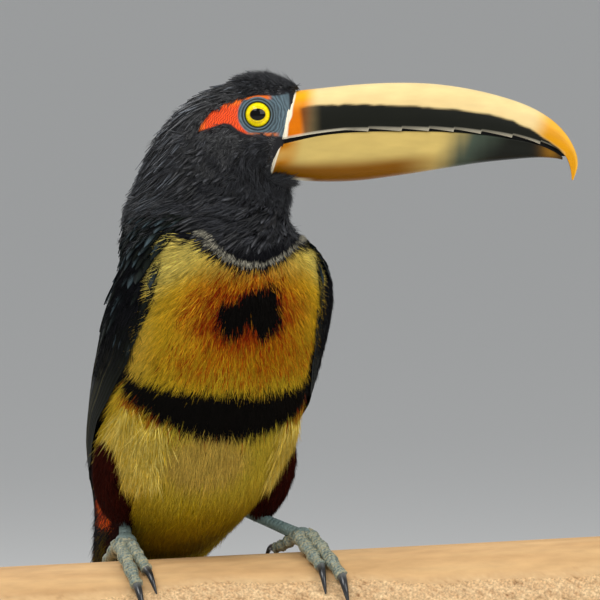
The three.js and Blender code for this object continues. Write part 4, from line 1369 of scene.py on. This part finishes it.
path_p, path_q, ups = [], [], []
t = np.linspace(0, 1, 40)
for pair, tip in enumerate(TIPS):
    for side in (-1, 1):
        path_p.append(-0.08 + (tip + 0.08) * t)
        path_q.append(side * (0.35 + 0.25 * pair + 0.12 * pair * t + 0.05 * t))
        ups.append((2 - pair) * 0.75 + 0.15 * side + 0 * t)
out_way = survey(tail_plane, np.array([0.5]), np.array([0.0]))[3][0]
back_way = 1 if out_way[1] > 0 else -1  # feathers on top lie towards the bird's back
piece = vanes(
    "tail_feathers", tail_plane, np.array(path_p), np.array(path_q), np.full(2 * PAIRS, 8.6),
    np.array(ups) * back_way, np.tile([-0.35, 0.35], PAIRS) * back_way,
    tinted(WING_BLACK, FLIGHT_BROWN * 0.8, EDGE_BUFF, 0.3),
    thick=0.7, blunt=9, seed=51, uv_at=strips(2 * PAIRS),
)
dress(piece, VANE, "feathers_green", "tail")

# %% [markdown]
# ## The coat
# Each region of the coat is one piece, because breast, nape and thigh feathers differ in length,
# stiffness and lie. The breast's tufts part from the middle and sweep outwards, the belly's are long
# and soft, the nape's are clumped locks that stand off a little, and the face has the shortest.

# %% Breast, belly and flanks
def clear(p, q, place):
    """Where no wing covers the body, a few millimetres before the front edge."""
    share = wing_share(p, q)
    return ~((share > -0.055 + 0.035 * step(0.7, 0.74, p)) & (share < 0.95) & (p > 0.455))


def parting(p, q):
    """Tufts turn outwards from the middle of the breast, less and less towards the belly."""
    return 0.95 * np.sin(q) * (1 - step(0.56, 0.74, p)) + 0.3 * np.sin(q) * (1 - step(0.7, 0.76, p))


def flank(p, q, place):
    """A patch in front of the wing and over the thigh."""
    wide = np.abs(np.degrees(q))
    beside = (wing_share(p, q) < -0.12) & (wide > 36 + 60 * (p - 0.7))
    return beside & (place[:, 2] < 58 + 8 * (wide > 60)) & (place[:, 2] > 36)


coat("coat_breast", 5500, lambda p, q: 10 + 3 * step(0.5, 0.7, p), (0.46, 0.72), (-95, 95), clear, 11,
     slot="feathers_yellow", width=0.42, colour=trunk_colour, turn=parting, depth=3.2, lift=-0.3,
     stray=0.35, gloom=0.4, tousle=0.22, ruffle=0.5, contrast=0.2, glow=1.35)
coat("coat_belly", 5500, 16, (0.69, 0.98), (-100, 100), clear, 13, slot="feathers_yellow", width=0.4,
     colour=trunk_colour, turn=parting, depth=3.2, lift=-0.2, stray=0.5, gloom=0.6, spread=1, fan=0.16,
     tousle=0.16, ruffle=0.5, contrast=0.14, glow=1.2)
coat("coat_flanks", 1100, 15, (0.72, 0.86), (-92, 88), flank, 15, slot="feathers_yellow", width=0.42,
     colour=plain(YELLOW, PALE_YELLOW), turn=lambda p, q: -0.1 * np.sin(q), depth=2, lift=0.5,
     stray=0.8, gloom=0.6, spread=0.9, fan=0.15, tousle=0.2, ruffle=0.9, contrast=0.15)

# %% Thighs, rump and tail root
def back_only(p, q, place):
    """The back and its sides, out to 108 degrees from the spine."""
    return np.abs(np.degrees(q) - 180) < 108


def tail_root_colour(p, q, place, rng):
    """Red above and brown below."""
    under = mix(OLIVE_YELLOW, CHESTNUT, rng.random(len(place)) * 0.7) * 0.7
    return over(under, np.abs(np.degrees(q)) > 108, RED)


for side in THIGHS:
    coat(f"coat_thigh_{side}", 1500, lambda p, q: 7.5 - 4 * step(0.6, 0.9, p), (0.06, 0.94), seed=17,
         surface=thigh(side), slot="feathers_chestnut", width=0.38, colour=plain(CHESTNUT, CHESTNUT * 0.35),
         depth=1.5, lift=0.2, stray=0.4, tousle=0.2, ruffle=0.3, contrast=0.2)
coat("coat_rump", 1600, 13, (0.8, 1), (70, 290), back_only, 19, slot="feathers_red", width=0.42,
     colour=trunk_colour, depth=2.6, lift=0.4, stray=0.6, tousle=0.2, ruffle=0.5, contrast=0.15)
coat("coat_tail_root", 1000, 19, (0.94, 1.02), seed=21, slot="feathers_red", width=0.5,
     colour=tail_root_colour, depth=2.2, lift=0.2, stray=0.5, tousle=0.12, ruffle=0.4)

# %% Hood and its lobes
SHEEN = finish("black feather", mottle=0.2, Roughness=0.4, Specular_IOR_Level=0.3)
PITCH = srgb(12, 12, 14)
# grey mixed among black barbs and at the tips of black lobes as painted sheen; the pale hem bristles also
# vary towards it
GLOSS_GREY = srgb(44, 45, 48)


def feathered(p, q, place):
    """Leaves the bare face clear of feathers."""
    return bare(place) > 0.5


def hood(above):
    """A rule for the roots of the hood: this far over the hem, so that the tips end at it."""
    def rule(p, q, place):
        wide = wrap(np.degrees(q))
        return feathered(p, q, place) & ((place[..., 2] > read(HEM, wide) + above) | (np.abs(wide) > 78))
    return rule


def backwards(p, q):
    """Tufts of the hood turn a little towards the nape."""
    return 0.35 * np.sin(q)


coat("coat_hood", 2400, 8, (0.24, 0.5), (-180, 180), hood(5.5), 23, finish=SHEEN, turn=backwards,
     width=0.42, colour=plain(PITCH, PITCH), depth=2.8, lift=-1.2, stray=0.15, spread=0.6, fan=0.15,
     tousle=0.2, ruffle=0.1, contrast=0.3, gloom=0.2, glow=1.2)
coat("coat_lobes", 1250, 8, (0.2, 0.49), (-180, 180), hood(6.5), 24, finish=SHEEN, turn=backwards,
     per_tuft=12, width=0.34, colour=plain(BLACK, GLOSS_GREY * 1.4), depth=2.4, lift=-0.4, stray=0.1,
     spread=0.35, fan=0.26, tousle=0.35, ruffle=1.3, contrast=0.7, gloom=0.05, glow=1.9)

rng = np.random.default_rng(27)
root_p, root_q = scatter(body, (0.2, 0.48), (-180, 180), 620, lambda *at: hood(6)(*at) * 1.0, 27)
count = len(root_p)
heading = backwards(root_p, root_q) + rng.normal(0, 0.25, count)
t = np.linspace(0, 1, 8)
path_p, path_q = run(body, root_p, root_q, heading, rng.uniform(6.5, 8.5, count), t)
rise = t ** 1.3 * (0.9 + np.abs(rng.normal(0, 0.5, (count, 1)))) - 0.9
piece = vanes("hood_lobes", body, path_p, path_q, rng.uniform(1.5, 2.3, count), rise, np.zeros(count),
              tinted(PITCH, GLOSS_GREY * 1.5, variety=0.4), section=SMALL_LEAF, thick=0.9, blunt=2, seed=28)
dress(piece, SHEEN, "feathers_black")

# %% Face, forehead, chin and throat
# grey mixed among the head's black barbs: painted sheen
FACE_SHEEN = srgb(86, 86, 86)


def chin(p, q):
    """Under the bill's root: p forwards, q across."""
    half, z = 9 * (1 - 0.3 * p), 147.4 - 3.6 * np.cos(q) * (1 - 0.6 * p)
    return np.stack([15 + 16 * p, HEAD_Y - half * np.sin(q), z], -1)


def forehead(p, q, place):
    return (bare(place) > 1.2) & (place[:, 2] > 181.5)


coat("coat_face", 4200, lambda p, q: 3.4 + 5 * step(0.1, 0.3, p), (0.01, 0.27), (-180, 180), feathered,
     25, finish=SHEEN, per_tuft=7, width=0.3, colour=plain(BLACK, FACE_SHEEN), depth=1, lift=-0.1, stray=0.12,
     spread=0.35, fan=0.15, tousle=0.25, ruffle=0.2, contrast=0.4, gloom=0.25, glow=1.6)
coat("coat_forehead", 420, 6.5, (-0.02, 0.09), (140, 220), forehead, 29, finish=SHEEN, per_tuft=8,
     width=0.34, colour=plain(PITCH, GLOSS_GREY), depth=1, lift=0.2, stray=0.5, spread=0.4, tousle=0.45,
     ruffle=0.8, contrast=0.4, gloom=0.3, glow=1.6)
coat("coat_chin", 360, 7.5, (0, 0.56), (-85, 85), seed=31, surface=chin, finish=SHEEN, per_tuft=7,
     width=0.36, colour=plain(PITCH, GLOSS_GREY), depth=1, lift=0.4, stray=0.8, spread=0.5, tousle=0.35,
     ruffle=0.8, contrast=0.4, gloom=0.3, glow=1.6)
coat("coat_throat", 520, 8.5, (0.02, 0.28), (-75, 75), feathered, 37, finish=SHEEN, per_tuft=12,
     width=0.34, colour=plain(PITCH, GLOSS_GREY * 1.4), depth=1.4, lift=0.1, stray=0.15, spread=0.7, fan=-0.04,
     tousle=0.3, ruffle=1.5, contrast=0.6, gloom=0.08, glow=1.8)

# %% Hackles of crown and nape
GLEAM = srgb(84, 88, 94)


def hackled(p, q, place):
    """Round the spine, wider down the nape, and sparse at the very front."""
    from_spine = np.abs(np.degrees(q) - 180)
    return ((bare(place) > 1.6) & (from_spine < 50 + 42 * step(0.2, 0.36, p))) * (0.7 + step(0.1, 0.2, p))


rng = np.random.default_rng(38)
root_p, root_q = scatter(body, (0, 0.42), (90, 270), 1700, hackled, 38)
count = len(root_p)
long = (7 + 8 * step(0.05, 0.25, root_p)) * rng.uniform(0.75, 1.15, count)
heading = 0.3 * np.sin(root_q) + rng.normal(0, 0.12, count)
t = np.linspace(0, 1, 7)
path_p, path_q = run(body, root_p, root_q, heading, long, t)
rise = t ** 1.5 * (0.3 + np.abs(rng.normal(0, 0.9, (count, 1)))) - 0.5
piece = vanes("hackles", body, path_p, path_q, rng.uniform(0.55, 1, count), rise, np.zeros(count),
              tinted(PITCH, GLEAM, variety=0.35), section=SMALL_LEAF, thick=0.9, blunt=1.6, seed=39)
dress(piece, SHEEN, "feathers_black")

# %% Shoulders, and the pale bristles over the hem
HEM_PALE = srgb(196, 190, 168)


def shoulder(p, q, place):
    """The front third of each wing."""
    share = wing_share(p, (q + np.pi) % (2 * np.pi) - np.pi)
    return (share > 0.02) & (share < 0.3)


coat("coat_shoulders", 2400, 9, (0.42, 0.7), (42, 318), shoulder, 33, per_tuft=7, width=0.4,
     colour=plain(PITCH * 0.6, BLACK), depth=1.5, lift=0.2, stray=0.25, spread=0.4, fan=0.16,
     tousle=0.2, ruffle=0.4, contrast=0.45, gloom=0.3, glow=1.3)

count = 300
rng = np.random.default_rng(35)
hem_q = rng.uniform(-58, 56, count)
line_p = np.linspace(0.38, 0.55, 300)  # places down the neck, to find where each root's height lies
tall = body(line_p[:, None], np.radians(hem_q)[None, :])[..., 2]
wanted = read(HEM, hem_q) + 5 + rng.normal(0, 0.4, count)
hem_p = line_p[np.abs(tall - wanted).argmin(0)]
bristles = grow("hem_bristles", body, (hem_p, np.radians(hem_q)), 3, 0.24, plain(HEM_PALE, GLOSS_GREY),
                per_tuft=3, spread=0.3, depth=0.1, lift=1.2, stray=0.25, gloom=0.7, tousle=0.2, seed=36)
dress(bristles, FEATHER, "feathers_black")

# %% [markdown]
# ## Feet
# Two toes point forwards and two back on a toucan, though on this rail all eight come round to the
# front. Tarsus, ball and toes are tubes fused into one skin, as the body was. Then every point learns
# which tube it lies on and how far along, and the horny scutes are raised as bands across the tube's
# upper side, with grey skin between them and pale dust in the creases.

# %% Places on the rail
RAIL_RADIUS, RAIL_TOP, RAIL_SLOPE = 30, 1.5, math.radians(2.95)
RAIL_LENGTH, RAIL_MIDDLE_X = 250, 31
CLEAR = 0.3  # gap between neighbouring solids
TARSI = {  # top and foot of each shank
    "right": [(-36.6, 7.6, 14.8), (-36, 1.5, 6.6)],
    "left": [(14.7, 14.6, 15.3), (32, 1.5, 8.8)],
}
TOES = {  # root, tip and claw tip as x and degrees round the rail's front, then the base radius
    "right": [
        ((-34, -6), (-29.5, -36), (-28.3, -56), 2.2), ((-33.2, 7), (-27.7, 32), (-24.2, 53), 2.3),
        ((-37.9, 7), (-31.6, 47), (-29.2, 68), 2.5), ((-38.6, -6), (-44.8, -38), (-46.6, -60), 2.4),
    ],
    "left": [
        ((29.8, -4), (21.6, -16), (17.8, -28), 2.2), ((31, 7), (39, 38), (40.4, 60), 2.3),
        ((35.8, 7), (46.8, 48), (48.9, 69), 2.5), ((35, -6), (39.8, -40), (41, -62), 2.4),
    ],
}


def on_rail(x, degrees, off):
    """Points at a distance off the rail, at an angle from its top towards the front."""
    a, r = np.radians(degrees), RAIL_RADIUS + off
    y, z = -r * np.sin(a), r * np.cos(a) + RAIL_TOP - RAIL_RADIUS
    c, s = math.cos(RAIL_SLOPE), math.sin(RAIL_SLOPE)
    return np.stack([x * c - z * s, y, x * s + z * c], -1)


print("top of the rail at its middle:", on_rail(np.array(RAIL_MIDDLE_X), 0, 0).round(1))

# %% Tubes for shank and toes
def tube(path, radius, around=28):
    """Points and faces of a round tube along a path of points."""
    way = unit(np.gradient(path, axis=0))
    aside = unit(np.cross(way, [0.3, 1, 0.2]))
    above = np.cross(aside, way)
    a = circle(around)[:, None]
    ring = np.cos(a) * aside[:, None] + np.sin(a) * above[:, None]
    points = (path[:, None] + ring * np.asarray(radius)[:, None, None]).reshape(-1, 3)
    return points, capped_faces(len(path), around)


def between(start, end, t, off):
    """A path on the rail from one (x, degrees) to another."""
    (x0, a0), (x1, a1) = start, end
    return on_rail(x0 + (x1 - x0) * t, a0 + (a1 - a0) * t, off)


PATH_STEPS = 40


def foot_lines(side):
    """The middle lines of the shank and of the four toes, and their radii."""
    t = np.linspace(0, 1, PATH_STEPS)
    ankle, joint = (np.array(end, float) for end in TARSI[side])
    shank = ankle + (joint - ankle) * t[:, None] + unit(ankle - joint) * 5 * (1 - t[:, None]) ** 2
    lines, widths = [shank], [2.1 * (0.95 + 0.25 * t ** 2)]
    for root, tip, _, radius in TOES[side]:
        off = radius * (1 - 0.12 * t) + CLEAR + 3.2 * (1 - t) ** 2
        lines.append(between(root, tip, t, off))
        widths.append(radius * (1 - 0.16 * t) * (1 + 0.13 * np.cos(6 * np.pi * t)))
    return joint, lines, widths


print("toes:", sum(len(toes) for toes in TOES.values()))

# %% Fuse, scale and paint each foot
SCUTE = 1.75  # mm between the creases
FOOT_GREY, FOOT_DUST, FOOT_SHADE_GREY = srgb(112, 126, 118), srgb(166, 156, 120), srgb(54, 62, 58)
SHANK_BLUE = srgb(92, 118, 118)
FOOT_SKIN = finish("foot skin", mottle=0.22, mottle_size=0.8, bump=0.5, bump_size=0.25, Roughness=0.55)
FOOT_UP = np.array([0, -np.sin(0.45), np.cos(0.45)])  # the scaled side faces up and a little forwards


def along_lines(place, lines):
    """For each place: its line, the mm along it, and the way from the line out to the place."""
    flat = np.concatenate(lines)
    found = nearest(flat, place)
    line, at = found // PATH_STEPS, found % PATH_STEPS
    lengths = [np.linalg.norm(np.diff(path, axis=0), axis=1).cumsum() for path in lines]
    reached = np.stack([np.concatenate([[0], length]) for length in lengths])
    way = unit(np.stack([np.gradient(path, axis=0) for path in lines]))
    offset = place - flat[found]
    return line, reached[line, at] + (offset * way[line, at]).sum(-1), offset


for side in TOES:
    joint, lines, widths = foot_lines(side)
    parts = [tube(line, width) for line, width in zip(lines, widths)]
    parts.append(ball(joint, np.array([4.1, 4.4, 3.4])))
    foot = fused(f"foot_{side}", parts, voxel=0.32, rounds=3)
    place = points_of(foot.data)
    line, along, offset = along_lines(place, lines)
    out = unit(offset)
    above = (out * FOOT_UP).sum(-1)
    phase = (along / SCUTE + 0.16 * np.sin(2.3 * along) + 0.1 * np.sin(5 * offset[:, 0])) % 1
    crease = bell(np.minimum(phase, 1 - phase), 0, 0.13) * step(-0.1, 0.3, above)
    rng = np.random.default_rng(61)
    waves = rng.normal(0, 1.9, (9, 3))
    lumps = np.abs(np.sin(place @ waves.T + rng.uniform(0, 6, 9))).mean(1) - 0.64
    knob = bell(np.linalg.norm(place - joint, axis=1), 0, 6)
    toe = line > 0
    height = 0.2 - 0.32 * crease * (0.4 + 0.6 * step(0.5, 0.9, above)) + (1.1 + 0.6 * knob) * lumps * toe
    move_points(foot.data, place + out * height[:, None])
    dust = 0.75 * crease + 0.5 * step(0, 0.12, lumps) + 0.35 * (above < 0)
    # darker where the lumps sink: on the toes painted shade in the hollows between the knobs, on the shank a
    # mottled tone
    colour = mix(FOOT_GREY, FOOT_SHADE_GREY, np.clip(-lumps * 4, 0, 0.7))
    colour = mix(colour, FOOT_DUST, np.clip(dust, 0, 0.85) * toe)
    colour = mix(colour, SHANK_BLUE, (line == 0) * 0.6 * (1 - knob))
    paint(foot.data, colour)
    dress(foot, FOOT_SKIN, "foot_skin", f"tarsus_{side}", *[f"toe_{k}_{side}" for k in range(1, 5)])

# %% Claws
CLAW_HORN = finish("claw horn", mottle=0.15, mottle_size=0.8, bump=0.05, Roughness=0.28, Coat_Weight=0.2)
CLAW_AROUND = 24
CLAW_TIP = 0.28  # the tip's middle over the rail
for side, toes in TOES.items():
    parts, shades = [], []
    for _, root, tip, radius in toes:
        t = np.linspace(-0.12, 1, 44)
        clipped = np.clip(t, 0, 1)
        seat = radius * 0.88
        off = seat + CLEAR + 1.6 * np.sin(np.pi * clipped) - clipped * (seat - CLAW_TIP)
        girth = radius * 0.66 * (1 - clipped) ** 0.7 + 0.22
        parts.append(tube(between(root, tip, t, off), girth, CLAW_AROUND))
        shade = step(0, 0.3, np.repeat(t, CLAW_AROUND))
        shades.append(mix(srgb(96, 98, 96), srgb(30, 31, 33), shade))
    claws = mixed_mesh(f"claws_{side}", *joined(parts), np.concatenate(shades))
    dress(claws, CLAW_HORN, "claw_horn", *[f"claw_{k}_{side}" for k in range(1, 5)])

# %% [markdown]
# ## Perch
# The rail is a round bar of pale wood, worn smooth along its top by many feet, while the front below
# is weathered and granular. The roughness there is real relief on a dense grid, made from a sum of
# waves in many directions, and the cut ends show plain end grain.

# %% Turn the rail
def grain(place, waves, seed):
    """Uneven waves from a sum of sines in many directions."""
    rng = np.random.default_rng(seed)
    ways = rng.normal(0, 1, (40, 3)) * waves
    return np.sin(place @ ways.T + rng.uniform(0, 6.3, 40)).sum(1) / 40 ** 0.5


rings, around = 260, 150
turn = circle(around)
turn = turn - 0.45 * np.sin(turn - math.radians(80))  # closer together at the front
x = RAIL_MIDDLE_X + RAIL_LENGTH * (np.linspace(0, 1, rings) - 0.5)
grid_x, grid_a = (axis.ravel() for axis in grid(x, np.degrees(turn)))
place = on_rail(grid_x, grid_a, 0)
angle = wrap(grid_a)
rough = step(38, 58, angle + 5 * grain(place, (0.05, 0.15, 0.15), 1)) * (1 - step(200, 260, np.abs(angle)))
rough = np.maximum(rough, step(70, 100, np.abs(angle)))
pits = grain(place, (1.6, 1.9, 1.9), 2)
long_wave = grain(place, (0.03, 0.5, 0.5), 3)
points = on_rail(grid_x, grid_a, -0.35 + 0.06 * long_wave + rough * (0.2 * pits - 0.1))
end_grain = srgb(176, 132, 90)
colour = mix(srgb(206, 168, 118), srgb(190, 150, 102), 0.5 + 0.35 * long_wave)
colour = mix(colour, mix(srgb(186, 150, 110), srgb(214, 184, 142), 0.5 + 0.4 * pits), rough * 0.8)
colour = mix(colour, srgb(112, 78, 50), rough * step(1.1, 2, -pits) * 0.7)
print("deepest pit, mm:", round(float((rough * (0.2 * pits - 0.1)).min()), 2))

# %% Close its ends and give it two finishes
WOOD = finish("perch wood", mottle=0.1, mottle_size=3, bump=0.4, bump_size=0.5, stretch=(0.3, 1, 1),
              Roughness=0.66, Specular_IOR_Level=0.15)
WEATHERED = finish("weathered wood", mottle=0.42, mottle_size=0.9, bump=1, bump_size=0.55,
                   Roughness=0.8, Specular_IOR_Level=0.08)
faces = tube_faces(rings, around)
hubs = on_rail(x[[0, -1]], np.zeros(2), -RAIL_RADIUS)
ends = []
for ring, hub, facing in ((0, len(points), 1), (rings - 1, len(points) + 1, -1)):
    rim = ring * around + np.arange(around)
    ends.append(np.stack([np.full(around, hub), np.roll(rim, -facing), rim], -1))
tri = np.concatenate([faces[:, [0, 1, 2]], faces[:, [0, 2, 3]], *ends])
colour = np.vstack([colour, [end_grain, end_grain]])
perch = new_mesh("rail", np.vstack([points, hubs]), tri[:, ::-1], colour)
dress(perch, WOOD, "perch_wood", "perch")
perch.data.materials.append(WEATHERED)
weathered = np.concatenate([np.tile(rough[faces[:, 0]] > 0.5, 2), np.zeros(2 * around, bool)])
perch.data.polygons.foreach_set("material_index", weathered.astype(np.int32))

# %% [markdown]
# ## Display stand
# The stand is plain on purpose: a dark bevelled slab and two brushed steel rods with small collars.
# Both are stacks of rings, wide or narrow at each height, with their two ends closed.

# %% Slab
WALNUT = finish("walnut", mottle=0.45, mottle_size=9, bump=0.08, bump_size=1.2, stretch=(0.12, 1, 1),
                Roughness=0.4, Coat_Weight=0.15, Coat_Roughness=0.2)
STEEL = finish("brushed steel", mottle=0.05, mottle_size=1, bump=0.15, bump_size=0.3, stretch=(1, 1, 0.05),
               Metallic=1, Roughness=0.32)
CORNER, BEVEL = 14, 1.4


def boxed(node):
    """Middle and half size of a solid part, back in the bird's millimetres."""
    low, high = (np.array(list(corner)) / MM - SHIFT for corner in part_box(node))
    return (low + high) / 2, (high - low) / 2


def stack(name, rings, colour):
    """A piece from rings of points, one above the other."""
    points = np.vstack(rings)
    faces = capped_faces(len(rings), len(rings[0]))
    return mixed_mesh(name, points, faces, np.tile(colour, (len(points), 1)), sharp=True)


middle, half = boxed("stand_base")
angles = np.radians(np.arange(0, 360, 3.0))
round_way = np.stack([np.cos(angles), np.sin(angles)], -1)
corner = np.sign(round_way) * (half[:2] - CORNER)
tall = 2 * half[2]
rings = []
for inset, rise in ((0.6, 0), (0, 0.6), (0, tall - BEVEL), (0.4, tall - 0.4), (BEVEL, tall)):
    outline = corner + (CORNER - inset) * round_way
    rings.append(np.column_stack([outline + middle[:2], np.full(len(angles), middle[2] - half[2] + rise)]))
dress(stack("slab", rings, srgb(78, 50, 32)), WALNUT, "stand_wood", "stand_base")

# %% Rods with a collar at the foot
for side in ("left", "right"):
    middle, half = boxed(f"stand_rod_{side}")
    low, top = middle[2] - half[2], middle[2] + half[2] - 1
    rings = []
    for z, radius in ((low, 6.6), (low + 3.4, 6.6), (low + 4, 6), (low + 4.2, 3.95), (top, 3.95)):
        a = circle(64)
        x, y = middle[0] + radius * np.cos(a), middle[1] + radius * np.sin(a)
        rings.append(np.stack([x, y, z + 0 * a], -1))
    dress(stack(f"rod_{side}", rings, srgb(188, 188, 186)), STEEL, "stand_steel", f"stand_rod_{side}")

# %% [markdown]
# ## Camera
# The camera stands three metres away, a little above the bird's height, and looks slightly down. The
# lens is worked out from the width that the view should span at the bird: a long lens from far off
# keeps the bill from looking larger than it is.

# %% Place the camera
FRAME_MIDDLE = placed([31.15, 0, 100])
FRAME_WIDTH = 600 / 2.6 * MM  # what the view spans at the bird: 600 steps, 2.6 to a millimetre
ELEVATION = math.radians(3)
DISTANCE = 3
camera = linked("camera", bpy.data.cameras.new("camera"))
camera.location = FRAME_MIDDLE + DISTANCE * np.array([0, -math.cos(ELEVATION), math.sin(ELEVATION)])
camera.rotation_euler = (math.pi / 2 - ELEVATION, 0, 0)
camera.data.lens = camera.data.sensor_width * DISTANCE / FRAME_WIDTH
camera.data.clip_start, camera.data.clip_end = 0.1, 100
bpy.context.scene.camera = camera
print("lens, mm:", round(camera.data.lens, 1))

# %% [markdown]
# ## Light
# Large square lamps give the soft shadows of a studio: a key on the left, a weaker fill on the right,
# and one behind that draws the outline of the dark back. A pale even sky lifts the shadows.

# %% Hang the lamps
def softbox(name, azimuth, elevation, distance, size, power):
    """A square lamp that faces the bird; azimuth 0 is the camera's side, and grows to the right."""
    a, e = math.radians(azimuth), math.radians(elevation)
    way = np.array([math.sin(a) * math.cos(e), -math.cos(a) * math.cos(e), math.sin(e)])
    lamp = bpy.data.lights.new(name, "AREA")
    lamp.size, lamp.energy = size, power
    holder = linked(name, lamp)
    holder.location = FRAME_MIDDLE + way * distance
    holder.rotation_euler = Vector(-way).to_track_quat("-Z", "Y").to_euler()


softbox("key", -35, 50, 1.6, 0.9, 16)
softbox("fill", 40, 25, 1.8, 1.2, 18)
softbox("rim", -140, 40, 1.6, 0.8, 12)
world = bpy.data.worlds.new("studio")
world.use_nodes = True
sky = world.node_tree.nodes["Background"]
sky.inputs["Color"].default_value = (0.9, 0.92, 0.95, 1)
sky.inputs["Strength"].default_value = 0.45
bpy.context.scene.world = world
bpy.context.scene.view_settings.view_transform = "Standard"

# %% [markdown]
# ## Floor
# One large pale matt square, which is the stage and not part of the model.

# %% Lay the floor
REACH = 30  # metres from its middle to each edge, so that its end is never seen
square = [(-REACH, -REACH, 0), (REACH, -REACH, 0), (REACH, REACH, 0), (-REACH, REACH, 0)]
mesh = bpy.data.meshes.new("floor")
mesh.from_pydata(square, [], [(0, 1, 2, 3)])
floor = linked("floor", mesh)
matt = bpy.data.materials.new("floor")
matt.use_nodes = True
shader = matt.node_tree.nodes["Principled BSDF"]
shader.inputs["Base Color"].default_value = (0.78, 0.78, 0.76, 1)
shader.inputs["Roughness"].default_value = 0.9
mesh.materials.append(matt)
made = [o for o in bpy.data.objects if o.type == "MESH" and o is not floor]
print("pieces:", len(made), "triangles:", sum(triangles(o.data) for o in made))
